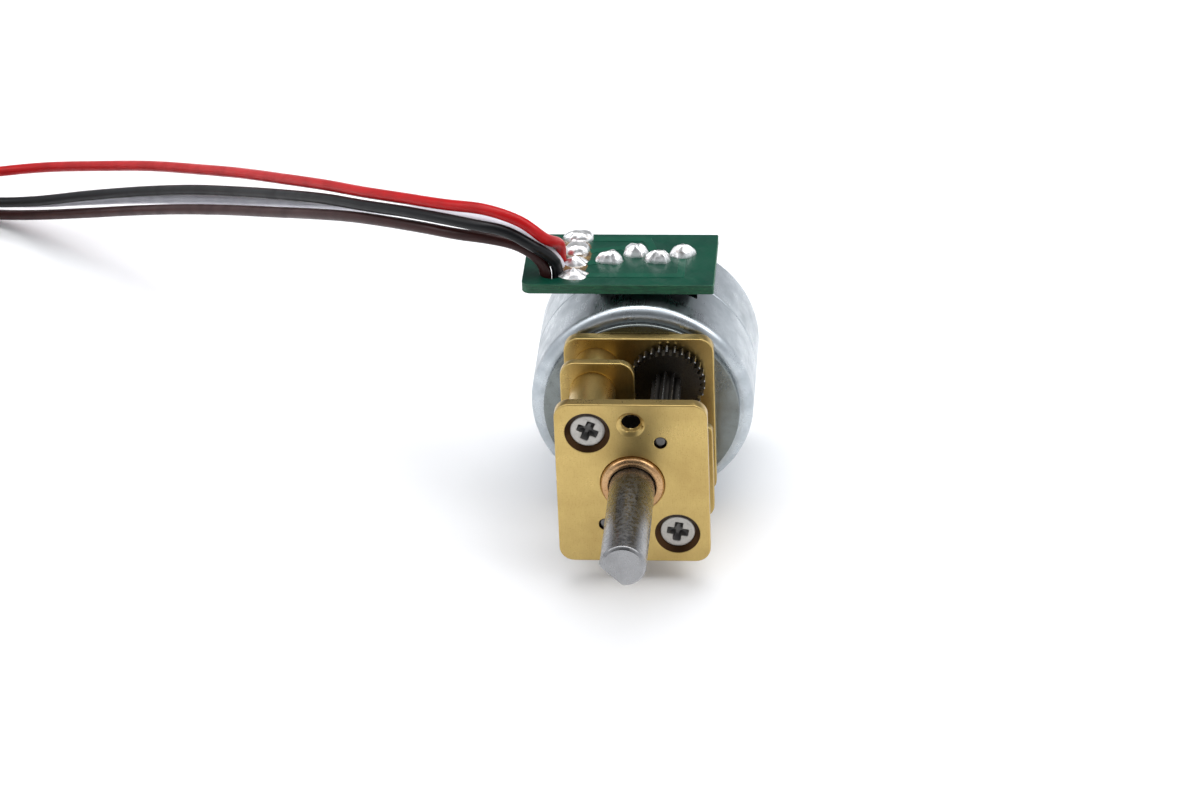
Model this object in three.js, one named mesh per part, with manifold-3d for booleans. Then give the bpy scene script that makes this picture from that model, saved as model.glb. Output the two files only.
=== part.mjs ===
// A 15 mm can-stack stepper motor with a three-plate spur gearbox, a D shaft and four leads.
// Millimetres, +Z up. The shaft points to -Y and its axis is AXIS_HEIGHT above the surface the can lies on.
import * as THREE from "three";
import { mergeVertices } from "three/addons/utils/BufferGeometryUtils.js";
import Module from "manifold-3d";

const wasm = await Module();
wasm.setup();

// ---- Driving dimensions -----------------------------------------------------------------------
// "Station" is the distance in front of the origin along the shaft axis, towards the shaft's tip.

const CAN_RADIUS = 7.5;
const CAN_WALL = 0.5;
const CAN_EDGE = 0.7; // radius of the drawn corner of a can half
const CAN_FRONT = -4.3; // station of the can's front face
const CAN_LENGTH = 10;
const CAN_MIDDLE = CAN_FRONT - CAN_LENGTH / 2;
const AXIS_HEIGHT = CAN_RADIUS;

const PLATE_WIDTH = 10;
const PLATE_HEIGHT = 12;
const PLATE_CORNER = 1;
const FRONT_PLATE = { front: 5.5, back: 4.7 };
const MIDDLE_PLATE = { front: 0.22, back: -0.38 };
const BACK_PLATE = { front: -3, back: -3.8 };
const MIDDLE_TAB_EDGE = 0.1; // half the gap between the middle plate's two tabs across the axis
const MIDDLE_BAR = 1.2; // half height of the middle plate's bar

const COLUMN = { x: -2.85, y: 3.85, radius: 1.5, bore: 0.86 }; // the lower one is point symmetric
const ARBOR = { angle: 0.5427, radius: 0.4, hole: 0.44 }; // angle: from upright, towards the right
const TAPPED_HOLE = { offset: 4.5, radius: 0.625, chamfer: 0.91 };
const SCREW = { shank: 0.78, head: 1.15, sunk: 0.28, sink: 1.485 };

const SHAFT = { tip: 15.46, radius: 1.5, flat: 1, flatLength: 8.9, chamfer: 0.2 };
const SPINDLE_RADIUS = 0.55;
const GEAR_SEAT_RADIUS = 1;
const BUSH = { outer: 2.1, inner: 1.54, proud: 0.45, flange: 2.5, round: 0.4 };
const MOTOR_SHAFT_RADIUS = 0.6;

const MODULE = 0.16;
const PRESSURE_ANGLE = THREE.MathUtils.degToRad(20);
const BACKLASH = 0.035;
const TEETH = {
  motorPinion: 16,
  wheelA: 30,
  pinionA: 10,
  idlerWheel: 36,
  idlerPinion: 16,
  wheelB: 30,
  pinionB: 10,
  output: 36,
};
const CENTRE_DISTANCE = (MODULE * (TEETH.motorPinion + TEETH.wheelA)) / 2; // the same for every pair
const SMALL_PINION_SHIFT = 0.25; // profile shift of a 10-tooth pinion, taken off the wheel it drives

const CLAWS = 5; // pole pairs of one winding
const CLAW = { inner: 3.5, thickness: 0.35, baseWidth: 1.6, tipWidth: 1, length: 3.7 };
const STACK_TURN = Math.PI / (4 * CLAWS); // each can half is turned a quarter pitch from the middle
const MAGNET_RADIUS = 3.3;

const BOARD = { left: -7.9, right: 4.95, front: 5.5, back: 12.5, bottom: 15.5, top: 16.2 };
const PIN_X = [-2.1, -0.5, 1.1, 2.7];
const PIN_STAGGER = 0.45;
const PIN_WIDTH = 0.4;
const LEAD_PAD = { x: -4.6, first: 6.8, step: 1.65, hole: 0.3 };
const LEAD_SLOT = { x: -5.95, y: 7.8, width: 1.7, length: 2.9 };
const LEAD_DIAMETER = 0.78;
const LEAD_COLOURS = ["brown", "black", "white", "red"];

const SIDES = { large: 32, medium: 20, small: 12 }; // of a faceted circle
const FIT = 0.02; // gap where two pieces rest on or are pressed into each other
const RUNNING = 0.04; // radial clearance of a running fit

// ---- Finishes -----------------------------------------------------------------------------------

function finish(color, roughness, metalness) {
  return new THREE.MeshStandardMaterial({ color, roughness, metalness });
}

const BRASS = finish(0xc9ab66, 0.4, 1);
const BRONZE = finish(0xb9825a, 0.35, 1);
const SHAFT_STEEL = finish(0x9a9b9e, 0.28, 1);
const DARK_STEEL = finish(0x4a4744, 0.45, 1);
const ZINC = finish(0xb6c2cd, 0.35, 1);
const SCREW_STEEL = finish(0xcfcfca, 0.45, 1);
const FERRITE = finish(0x2b2b2d, 0.7, 0.1);
const BLACK_PLASTIC = finish(0x161616, 0.5, 0);
const COPPER = finish(0xa85a2c, 0.4, 0.8);
const BOARD_GREEN = finish(0x075c3f, 0.35, 0);
const SOLDER = finish(0xe4e6e8, 0.2, 1);
const LEAD_FINISH = {
  brown: finish(0x46211f, 0.4, 0),
  black: finish(0x111214, 0.4, 0),
  white: finish(0xe9e9ee, 0.4, 0),
  red: finish(0xd1161f, 0.4, 0),
};

// ---- Solids -------------------------------------------------------------------------------------

// A closed geometry as a solid whose faces point out.
function solid(geometry) {
  const bare = geometry.clone();
  bare.deleteAttribute("normal");
  bare.deleteAttribute("uv");
  const merged = mergeVertices(bare, 1e-4);
  const triVerts = new Uint32Array(merged.index.array);
  const vertProperties = new Float32Array(merged.attributes.position.array);
  const made = new wasm.Manifold(new wasm.Mesh({ numProp: 3, vertProperties, triVerts }));
  if (made.volume() > 0) return made;
  return new wasm.Manifold(new wasm.Mesh({ numProp: 3, vertProperties, triVerts: triVerts.reverse() }));
}

function geometryOf(made) {
  const { vertProperties, triVerts } = made.getMesh();
  const geometry = new THREE.BufferGeometry();
  geometry.setAttribute("position", new THREE.BufferAttribute(vertProperties, 3));
  geometry.setIndex(new THREE.BufferAttribute(triVerts, 1));
  const faceted = geometry.toNonIndexed();
  faceted.computeVertexNormals();
  return faceted;
}

function piece(parent, name, made, material) {
  const mesh = new THREE.Mesh(geometryOf(made), material);
  mesh.name = name;
  parent.add(mesh);
  return mesh;
}

const join = (solids) => solids.reduce((sum, next) => sum.add(next));
const cut = (from, tools) => tools.reduce((rest, tool) => rest.subtract(tool), from);

// A prism of an outline from one station to another.
function prism(shape, from, to, curveSegments = 12) {
  const low = Math.min(from, to);
  const depth = Math.abs(to - from);
  const geometry = new THREE.ExtrudeGeometry(shape, { depth, bevelEnabled: false, curveSegments });
  return solid(geometry.translate(0, 0, low));
}

function disc(radius, from, to, { x = 0, y = 0, sides = SIDES.medium } = {}) {
  const geometry = new THREE.CylinderGeometry(radius, radius, Math.abs(to - from), sides);
  return solid(geometry.rotateX(Math.PI / 2).translate(x, y, (from + to) / 2));
}

function cone(radiusFrom, radiusTo, from, to, { x = 0, y = 0, sides = SIDES.medium } = {}) {
  const geometry = new THREE.CylinderGeometry(radiusTo, radiusFrom, Math.abs(to - from), sides);
  if (to < from) geometry.rotateX(Math.PI);
  return solid(geometry.rotateX(Math.PI / 2).translate(x, y, (from + to) / 2));
}

function sleeve(outer, inner, from, to, place = {}) {
  const margin = 1;
  const low = Math.min(from, to) - margin;
  const high = Math.max(from, to) + margin;
  return disc(outer, from, to, place).subtract(disc(inner, low, high, place));
}

// A body turned from a profile of [radius, station] points, which closes on itself or on the axis.
function turned(profile, sides) {
  const points = profile.map(([radius, station]) => new THREE.Vector2(radius, station));
  if (profile[0][0] > 0) points.push(points[0].clone());
  return solid(new THREE.LatheGeometry(points, sides).rotateX(Math.PI / 2));
}

function box(x0, x1, y0, y1, z0, z1) {
  const geometry = new THREE.BoxGeometry(x1 - x0, y1 - y0, z1 - z0);
  return solid(geometry.translate((x0 + x1) / 2, (y0 + y1) / 2, (z0 + z1) / 2));
}

// Points of an arc, from one angle to another, in radians.
function arc(x, y, radius, from, to, steps) {
  const points = [];
  for (let i = 0; i <= steps; i++) {
    const angle = from + ((to - from) * i) / steps;
    points.push([x + radius * Math.cos(angle), y + radius * Math.sin(angle)]);
  }
  return points;
}

// An outline through corner points, each rounded where it has a radius.
function roundedOutline(corners) {
  const shape = new THREE.Shape();
  const count = corners.length;
  corners.forEach(([x, y, radius], i) => {
    const corner = new THREE.Vector2(x, y);
    const towards = ([px, py]) => new THREE.Vector2(px, py).sub(corner).setLength(radius).add(corner);
    const start = towards(corners[(i + count - 1) % count]);
    const end = towards(corners[(i + 1) % count]);
    if (i === 0) shape.moveTo(start.x, start.y);
    else shape.lineTo(start.x, start.y);
    if (radius > 0) shape.quadraticCurveTo(x, y, end.x, end.y);
  });
  shape.closePath();
  return shape;
}

// ---- Gears --------------------------------------------------------------------------------------

const involute = (angle) => Math.tan(angle) - angle;

// A spur gear's outline with a tooth centred on the angle phase.
function gearOutline(teeth, phase, shift = 0) {
  const pitch = (MODULE * teeth) / 2;
  const base = pitch * Math.cos(PRESSURE_ANGLE);
  const tip = pitch + MODULE * (0.92 + shift);
  const root = pitch - MODULE * (1.3 - shift);
  const halfTooth =
    (Math.PI / 2 + 2 * shift * Math.tan(PRESSURE_ANGLE)) / teeth - BACKLASH / (2 * pitch);
  const halfAngle = (radius) => {
    const pressure = Math.acos(Math.min(1, base / radius));
    return halfTooth + involute(PRESSURE_ANGLE) - involute(pressure);
  };
  const flank = [root, tip].map((radius) => [radius, halfAngle(Math.max(radius, base))]);
  const points = [];
  for (let tooth = 0; tooth < teeth; tooth++) {
    const centre = phase + (2 * Math.PI * tooth) / teeth;
    for (const [radius, half] of flank) points.push([radius, centre - half]);
    for (const [radius, half] of [...flank].reverse()) points.push([radius, centre + half]);
  }
  return new THREE.Shape(
    points.map(([radius, angle]) => new THREE.Vector2(radius * Math.cos(angle), radius * Math.sin(angle))),
  );
}

function gear(teeth, from, to, phase, shift = 0) {
  return prism(gearOutline(teeth, phase, shift), from, to);
}

// Phases that put every pair in mesh: the driver's tooth points at the wheel, the wheel's gap at the driver.
const TOWARDS_A = Math.PI / 2 - ARBOR.angle;
const TOWARDS_B = TOWARDS_A + Math.PI;
const gapAt = (direction, teeth) => direction + Math.PI / teeth;

// ---- Gearbox ------------------------------------------------------------------------------------

const drive = new THREE.Group(); // local z is the station, local x is X and local y is Z above the axis
drive.rotation.x = Math.PI / 2;
drive.position.z = AXIS_HEIGHT;

const upper = { x: COLUMN.x, y: COLUMN.y };
const lower = { x: -COLUMN.x, y: -COLUMN.y };
const arborA = {
  x: CENTRE_DISTANCE * Math.sin(ARBOR.angle),
  y: CENTRE_DISTANCE * Math.cos(ARBOR.angle),
  sides: SIDES.small,
};
const arborB = { ...arborA, x: -arborA.x, y: -arborA.y };
const through = 1; // how far a cutting tool reaches past the faces it cuts

function plateBlank(plate) {
  const x = PLATE_WIDTH / 2;
  const y = PLATE_HEIGHT / 2;
  const corners = [
    [-x, -y, PLATE_CORNER],
    [x, -y, PLATE_CORNER],
    [x, y, PLATE_CORNER],
    [-x, y, PLATE_CORNER],
  ];
  return prism(roundedOutline(corners), plate.front, plate.back, 5);
}

function hole(radius, plate, place = {}) {
  return disc(radius, plate.back - through, plate.front + through, place);
}

// A countersink that opens to the given radius at a plate's front face, with 45 degree sides.
function countersink(radius, plate, place) {
  return cone(0.01, radius + through, plate.front - radius + 0.01, plate.front + through, place);
}

function frontPlate() {
  const tapped = [TAPPED_HOLE.offset, -TAPPED_HOLE.offset].map((y) => ({ y, sides: SIDES.medium }));
  return cut(plateBlank(FRONT_PLATE), [
    hole(BUSH.outer + FIT, FRONT_PLATE, { sides: SIDES.medium + 4 }),
    ...[upper, lower].map((place) => hole(COLUMN.bore, FRONT_PLATE, place)),
    ...[upper, lower].map((place) => countersink(SCREW.sink, FRONT_PLATE, place)),
    ...[arborA, arborB].map((place) => hole(ARBOR.radius + FIT, FRONT_PLATE, place)),
    ...tapped.map((place) => hole(TAPPED_HOLE.radius, FRONT_PLATE, place)),
    ...tapped.map((place) => countersink(TAPPED_HOLE.chamfer, FRONT_PLATE, place)),
  ]);
}

// The middle plate has one tab up at the left and one down at the right, joined by a bar.
function middlePlate() {
  const x = PLATE_WIDTH / 2;
  const y = PLATE_HEIGHT / 2;
  const half = [
    [-x, -MIDDLE_BAR, 0.5],
    [MIDDLE_TAB_EDGE, -MIDDLE_BAR, 0.4],
    [MIDDLE_TAB_EDGE, -y, PLATE_CORNER],
    [x, -y, PLATE_CORNER],
  ];
  const corners = [...half, ...half.map(([px, py, radius]) => [-px, -py, radius])];
  return cut(prism(roundedOutline(corners), MIDDLE_PLATE.front, MIDDLE_PLATE.back, 4), [
    hole(SPINDLE_RADIUS + RUNNING, MIDDLE_PLATE),
    ...[upper, lower].map((place) => hole(COLUMN.bore, MIDDLE_PLATE, place)),
  ]);
}

const RIVET_RADIUS = 1;
const BEARING_NOSE_RADIUS = 1.75;

function backPlate() {
  return cut(plateBlank(BACK_PLATE), [
    hole(BEARING_NOSE_RADIUS + RUNNING, BACK_PLATE),
    ...[upper, lower].map((place) => hole(RIVET_RADIUS + FIT, BACK_PLATE, place)),
    ...[arborA, arborB].map((place) => hole(ARBOR.radius + FIT, BACK_PLATE, place)),
  ]);
}

const SCREW_END = -2.6;
const COLUMN_BORE_END = -2.8;

function frontColumn(place) {
  return sleeve(COLUMN.radius, COLUMN.bore, FRONT_PLATE.back - FIT, MIDDLE_PLATE.front + FIT, place);
}

// A rear column is tapped for the screw and riveted into the back plate by its spigot.
function rearColumn(place) {
  const seat = BACK_PLATE.front + FIT;
  const top = MIDDLE_PLATE.back - FIT;
  const body = disc(COLUMN.radius, top, seat, place);
  const spigot = disc(RIVET_RADIUS, seat, BACK_PLATE.back + FIT, place);
  const bore = disc(COLUMN.bore, top + through, COLUMN_BORE_END, place);
  return body.add(spigot).subtract(bore);
}

// A countersunk screw with a cross recess turned by an angle.
function frontScrew(place, turn) {
  const top = FRONT_PLATE.front - SCREW.sunk;
  const headDepth = SCREW.head - SCREW.shank;
  const recessDepth = 0.34;
  const recess = [0, Math.PI / 2].map((quarter) => {
    const slot = new THREE.BoxGeometry(SCREW.head * 1.3, SCREW.head * 0.32, 2 * recessDepth);
    return solid(slot.rotateZ(turn + quarter).translate(place.x, place.y, top));
  });
  const head = cone(SCREW.shank, SCREW.head, top - headDepth, top, place);
  return cut(head.add(disc(SCREW.shank, top - headDepth, SCREW_END, place)), recess);
}

function outputBush() {
  const face = FRONT_PLATE.front + BUSH.proud;
  const flangeFront = FRONT_PLATE.back - FIT;
  const flangeBack = flangeFront - 0.24;
  const crown = arc(BUSH.outer - BUSH.round, face - BUSH.round, BUSH.round, 0, Math.PI / 2, 4);
  return turned(
    [
      [BUSH.inner, flangeBack],
      [BUSH.flange, flangeBack],
      [BUSH.flange, flangeFront],
      [BUSH.outer, flangeFront],
      ...crown,
      [BUSH.inner, face - 0.1],
    ],
    SIDES.medium + 4,
  );
}

const GEAR_SEAT = { front: 4.34, back: 3.2 };

function outputShaft() {
  const body = turned(
    [
      [0, MIDDLE_PLATE.back + FIT],
      [SPINDLE_RADIUS, MIDDLE_PLATE.back + FIT],
      [SPINDLE_RADIUS, GEAR_SEAT.back],
      [GEAR_SEAT_RADIUS, GEAR_SEAT.back],
      [GEAR_SEAT_RADIUS, GEAR_SEAT.front],
      [SHAFT.radius, GEAR_SEAT.front],
      [SHAFT.radius, SHAFT.tip - SHAFT.chamfer],
      [SHAFT.radius - SHAFT.chamfer, SHAFT.tip],
      [0, SHAFT.tip],
    ],
    SIDES.medium + 4,
  );
  const flatLength = SHAFT.flatLength + through;
  const block = new THREE.BoxGeometry(SHAFT.radius * 3, SHAFT.radius, flatLength);
  block.translate(0, -SHAFT.flat - SHAFT.radius / 2, SHAFT.tip + through - flatLength / 2);
  return body.subtract(solid(block.rotateZ(-Math.PI / 4)));
}

// ---- Gear train: each wheel and the pinion fixed to it are one solid ------------------------------

const WHEEL_A = { front: -2, back: -2.8 };
const IDLER_WHEEL = { front: 1.3, back: 0.5 };
const WHEEL_B = { front: 2.8, back: 2 };
const OUTPUT_GEAR = { front: 4.3, back: 3.3 };
const PINION_A_FRONT = 1.8;
const PINION_B_FRONT = 4.5;
const IDLER_FRONT = 3;

function gearA() {
  const wheel = gear(TEETH.wheelA, WHEEL_A.front, WHEEL_A.back, gapAt(TOWARDS_B, TEETH.wheelA));
  const pinion = gear(TEETH.pinionA, PINION_A_FRONT, WHEEL_A.front - 0.1, TOWARDS_B, SMALL_PINION_SHIFT);
  const bore = disc(ARBOR.hole, WHEEL_A.back - through, PINION_A_FRONT + through, { sides: SIDES.small });
  return wheel.add(pinion).subtract(bore).translate([arborA.x, arborA.y, 0]);
}

function gearB() {
  const wheel = gear(TEETH.wheelB, WHEEL_B.front, WHEEL_B.back, gapAt(TOWARDS_A, TEETH.wheelB));
  const pinion = gear(TEETH.pinionB, PINION_B_FRONT, WHEEL_B.front - 0.1, TOWARDS_A, SMALL_PINION_SHIFT);
  const bore = disc(ARBOR.hole, WHEEL_B.back - through, PINION_B_FRONT + through, { sides: SIDES.small });
  return wheel.add(pinion).subtract(bore).translate([arborB.x, arborB.y, 0]);
}

function idlerGear() {
  const phase = gapAt(TOWARDS_A, TEETH.idlerWheel);
  const wheel = gear(TEETH.idlerWheel, IDLER_WHEEL.front, IDLER_WHEEL.back, phase, -SMALL_PINION_SHIFT);
  const pinion = gear(TEETH.idlerPinion, IDLER_FRONT, IDLER_WHEEL.front - 0.1, TOWARDS_B);
  const bore = disc(SPINDLE_RADIUS + RUNNING, IDLER_WHEEL.back - through, IDLER_FRONT + through);
  return wheel.add(pinion).subtract(bore);
}

function outputGear() {
  const phase = gapAt(TOWARDS_B, TEETH.output);
  const wheel = gear(TEETH.output, OUTPUT_GEAR.front, OUTPUT_GEAR.back, phase, -SMALL_PINION_SHIFT);
  const bore = disc(GEAR_SEAT_RADIUS + FIT, OUTPUT_GEAR.back - through, OUTPUT_GEAR.front + through);
  return wheel.subtract(bore);
}

const MOTOR_PINION = { front: -1.8, back: -2.95 };

function motorPinion() {
  const body = gear(TEETH.motorPinion, MOTOR_PINION.front, MOTOR_PINION.back, TOWARDS_A);
  return body.subtract(disc(MOTOR_SHAFT_RADIUS + FIT, MOTOR_PINION.back - through, 0));
}

function arbor(place) {
  const recess = 0.15; // how far an arbor's end lies below the front plate's face
  return disc(ARBOR.radius, FRONT_PLATE.front - recess, BACK_PLATE.back + recess, { ...place, sides: 12 });
}

const SPACER_RADIUS = 0.6;

// ---- Motor --------------------------------------------------------------------------------------

const FLANGE = { radius: 6.6, front: BACK_PLATE.back - FIT, back: CAN_FRONT + FIT };
const NOSE_FRONT = -3.3;
const BEARING_FLANGE = { radius: 2.4, thickness: 0.4 };
const ROTOR = { front: -5.4, back: -13.2, hub: 1.6 };

function motorFlange() {
  return cut(disc(FLANGE.radius, FLANGE.front, FLANGE.back, { sides: SIDES.large }), [
    disc(BEARING_NOSE_RADIUS + FIT, FLANGE.front + through, FLANGE.back - through),
  ]);
}

// A flanged bush whose nose locates in the back plate.
function frontBearing() {
  const shoulder = FLANGE.back - FIT;
  const back = shoulder - BEARING_FLANGE.thickness;
  const bore = MOTOR_SHAFT_RADIUS + RUNNING;
  return turned(
    [
      [bore, back],
      [BEARING_FLANGE.radius, back],
      [BEARING_FLANGE.radius, shoulder],
      [BEARING_NOSE_RADIUS, shoulder],
      [BEARING_NOSE_RADIUS, NOSE_FRONT],
      [bore, NOSE_FRONT],
    ],
    SIDES.medium,
  );
}

const REAR = { face: CAN_FRONT - CAN_LENGTH, cover: 0.45, boss: 2.6, bearing: 1.6, end: -SHAFT.tip };
const REAR_POCKET_END = REAR.end + 0.26;

// The rear cover is a disc with a closed boss that holds the rear bearing.
function rearCover() {
  const seat = REAR.face - FIT;
  const back = seat - REAR.cover;
  const pocket = REAR.bearing + FIT;
  const bossEdge = arc(REAR.boss - 0.3, REAR.end + 0.3, 0.3, 0, -Math.PI / 2, 3);
  return turned(
    [
      [0, REAR_POCKET_END],
      [pocket, REAR_POCKET_END],
      [pocket, seat],
      [FLANGE.radius, seat],
      [FLANGE.radius, back],
      [REAR.boss, back],
      ...bossEdge,
      [0, REAR.end],
    ],
    SIDES.large,
  );
}

function rearBearing() {
  const inner = MOTOR_SHAFT_RADIUS + RUNNING;
  return sleeve(REAR.bearing, inner, REAR.face + 0.5, REAR_POCKET_END + FIT, { sides: SIDES.medium });
}

// A claw pole: a tapered finger at the bore, running from its root along the axis.
function claw(angle, rootStation, forward) {
  const { baseWidth, tipWidth, length, thickness, inner } = CLAW;
  const bury = 0.2;
  const outline = new THREE.Shape([
    new THREE.Vector2(-baseWidth / 2, -bury),
    new THREE.Vector2(baseWidth / 2, -bury),
    new THREE.Vector2(baseWidth / 2, 0),
    new THREE.Vector2(tipWidth / 2, length),
    new THREE.Vector2(-tipWidth / 2, length),
    new THREE.Vector2(-baseWidth / 2, 0),
  ]);
  const finger = new THREE.ExtrudeGeometry(outline, { depth: thickness, bevelEnabled: false });
  const radial = new THREE.Vector3(Math.cos(angle), Math.sin(angle), 0);
  const axial = new THREE.Vector3(0, 0, forward);
  const tangent = axial.clone().cross(radial);
  const place = new THREE.Matrix4().makeBasis(tangent, axial, radial);
  place.setPosition(radial.clone().multiplyScalar(inner).setZ(rootStation));
  return solid(finger.applyMatrix4(place));
}

function claws(rootStation, forward, turn) {
  const spacing = (2 * Math.PI) / CLAWS;
  return Array.from({ length: CLAWS }, (_, i) => claw(turn + i * spacing, rootStation, forward));
}

const NOTCH = { left: -3.1, right: 3.7, depth: 1.8 }; // the opening in a can half for the terminal block

// One can half as the front one: drawn cup, end wall and claw poles. side is 1 in front, -1 behind.
function canHalf(side) {
  const end = CAN_MIDDLE + (side * CAN_LENGTH) / 2;
  const open = CAN_MIDDLE + side * FIT;
  const inward = (distance) => end - side * distance;
  const edge = arc(CAN_RADIUS - CAN_EDGE, 0, CAN_EDGE, 0, Math.PI / 2, 4).map(([radius, up]) => [
    radius,
    inward(CAN_EDGE - up),
  ]);
  const cup = turned(
    [
      [CAN_RADIUS - CAN_WALL, open],
      [CAN_RADIUS, open],
      ...edge,
      [CLAW.inner, end],
      [CLAW.inner, inward(CAN_WALL)],
      [CAN_RADIUS - CAN_WALL, inward(CAN_WALL)],
    ],
    SIDES.large,
  );
  const notchEnd = CAN_MIDDLE + side * NOTCH.depth;
  const low = Math.min(notchEnd, CAN_MIDDLE - side * through);
  const high = Math.max(notchEnd, CAN_MIDDLE - side * through);
  const notch = box(NOTCH.left, NOTCH.right, CAN_RADIUS - 2, CAN_RADIUS + 1, low, high);
  const poles = claws(inward(CAN_WALL), -side, side * STACK_TURN);
  return join([cup.subtract(notch), ...poles]);
}

const INNER_PLATE = { outer: CAN_RADIUS - CAN_WALL - 0.05, thickness: 0.46 };

// The inner claw plate of one can half, whose poles stand between those of the can.
function clawPlate(side) {
  const back = CAN_MIDDLE + side * FIT;
  const face = back + side * INNER_PLATE.thickness;
  const annulus = sleeve(INNER_PLATE.outer, CLAW.inner, back, face, { sides: SIDES.medium + 4 });
  return join([annulus, ...claws(face, side, side * STACK_TURN + Math.PI / CLAWS)]);
}

const BOBBIN = { inner: 4, core: 4.3, flange: 6.6, cheek: 0.35, outside: 0.62, inside: 0.65 };
const BLOCK = { left: -3, right: 3.6, top: 7.95, depth: 1.7 };

// A bobbin with the terminal block that carries two pins through the can's notch.
function bobbin(side) {
  const outside = CAN_MIDDLE + side * (CAN_LENGTH / 2 - BOBBIN.outside);
  const inside = CAN_MIDDLE + side * BOBBIN.inside;
  const spool = turned(
    [
      [BOBBIN.inner, outside],
      [BOBBIN.flange, outside],
      [BOBBIN.flange, outside - side * BOBBIN.cheek],
      [BOBBIN.core, outside - side * BOBBIN.cheek],
      [BOBBIN.core, inside + side * BOBBIN.cheek],
      [BOBBIN.flange, inside + side * BOBBIN.cheek],
      [BOBBIN.flange, inside],
      [BOBBIN.inner, inside],
    ],
    SIDES.medium + 4,
  );
  const station = (distance) => CAN_MIDDLE + side * distance;
  const stretch = (a, b) => [Math.min(station(a), station(b)), Math.max(station(a), station(b))];
  const neck = box(BLOCK.left, BLOCK.right, BOBBIN.flange - 0.9, BLOCK.top, ...stretch(BOBBIN.inside, 1));
  const shelfFoot = INNER_PLATE.outer + 0.07;
  const shelf = box(BLOCK.left, BLOCK.right, shelfFoot, BLOCK.top, ...stretch(FIT, BLOCK.depth));
  const pinHoles = pinPlaces(side).map(({ x, station: at }) => {
    const half = PIN_WIDTH / 2 + FIT;
    return box(x - half, x + half, PIN_FOOT - FIT, BLOCK.top + 1, at - half, at + half);
  });
  return cut(join([spool, neck, shelf]), pinHoles);
}

function winding(side) {
  const gap = BOBBIN.cheek + FIT;
  const outside = CAN_MIDDLE + side * (CAN_LENGTH / 2 - BOBBIN.outside - gap);
  const inside = CAN_MIDDLE + side * (BOBBIN.inside + gap);
  return sleeve(BOBBIN.flange - 0.9 - FIT, BOBBIN.core + FIT, inside, outside, { sides: SIDES.medium + 4 });
}

const PIN_FOOT = 7.2;
const PIN_TOP = 8.98;

// The two pins of one bobbin, as X and station.
function pinPlaces(side) {
  const first = side > 0 ? 0 : 1;
  return [PIN_X[first], PIN_X[first + 2]].map((x) => ({ x, station: CAN_MIDDLE + side * PIN_STAGGER }));
}

function terminalPin({ x, station }) {
  const half = PIN_WIDTH / 2;
  return box(x - half, x + half, PIN_FOOT, PIN_TOP, station - half, station + half);
}

// ---- Board and leads, in the part's own frame -----------------------------------------------------

const allPins = [1, -1].flatMap(pinPlaces).sort((a, b) => a.x - b.x);
const padPlaces = LEAD_COLOURS.map((_, i) => ({ x: LEAD_PAD.x, y: LEAD_PAD.first + i * LEAD_PAD.step }));

function circuitBoard() {
  const outline = roundedOutline([
    [BOARD.left, BOARD.front, 0.6],
    [BOARD.right, BOARD.front, 0.12],
    [BOARD.right, BOARD.back, 0.12],
    [BOARD.left, BOARD.back, 0.12],
  ]);
  const low = BOARD.bottom - through;
  const high = BOARD.top + through;
  const pinHoles = allPins.map(({ x, station }) => disc(0.35, low, high, { x, y: -station, sides: 12 }));
  const padHoles = padPlaces.map((place) => disc(LEAD_PAD.hole, low, high, { ...place, sides: 12 }));
  const reach = (LEAD_SLOT.length - LEAD_SLOT.width) / 2;
  const slotEnds = [-reach, reach].map((along) =>
    disc(LEAD_SLOT.width / 2, low, high, { x: LEAD_SLOT.x, y: LEAD_SLOT.y + along, sides: 16 }),
  );
  const { x, y, width } = LEAD_SLOT;
  const slotMiddle = box(x - width / 2, x + width / 2, y - reach, y + reach, low, high);
  const holes = [...pinHoles, ...padHoles, ...slotEnds, slotMiddle];
  return cut(prism(outline, BOARD.bottom, BOARD.top, 4), holes);
}

// A low dome of solder on the board, stretched along X or Y.
function dome(x, y, halfX, halfY, height) {
  const base = BOARD.top + FIT;
  const rings = 2;
  const profile = arc(0, 0, 1, 0, Math.PI / 2, rings);
  profile[rings] = [0, 1];
  const shape = new THREE.LatheGeometry(
    [[0, 0], ...profile].map(([radius, up]) => new THREE.Vector2(radius, up)),
    SIDES.small,
  );
  return solid(shape.rotateX(Math.PI / 2).scale(halfX, halfY, height).translate(x, y, base));
}

function pinSolder({ x, station }) {
  const half = PIN_WIDTH / 2 + FIT;
  const pin = box(x - half, x + half, -station - half, -station + half, 0, AXIS_HEIGHT + PIN_TOP + FIT);
  return dome(x, -station, 0.78, 0.55, 0.75).subtract(pin);
}

// A lead's soldered end: the joint on the pad and the tinned strand through the board.
function leadSolder({ x, y }) {
  const strand = disc(0.24, BOARD.bottom - 0.1, BOARD.top + 0.2, { x, y, sides: 10 });
  return dome(x + 0.15, y, 0.85, 0.5, 0.55).add(strand);
}

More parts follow.
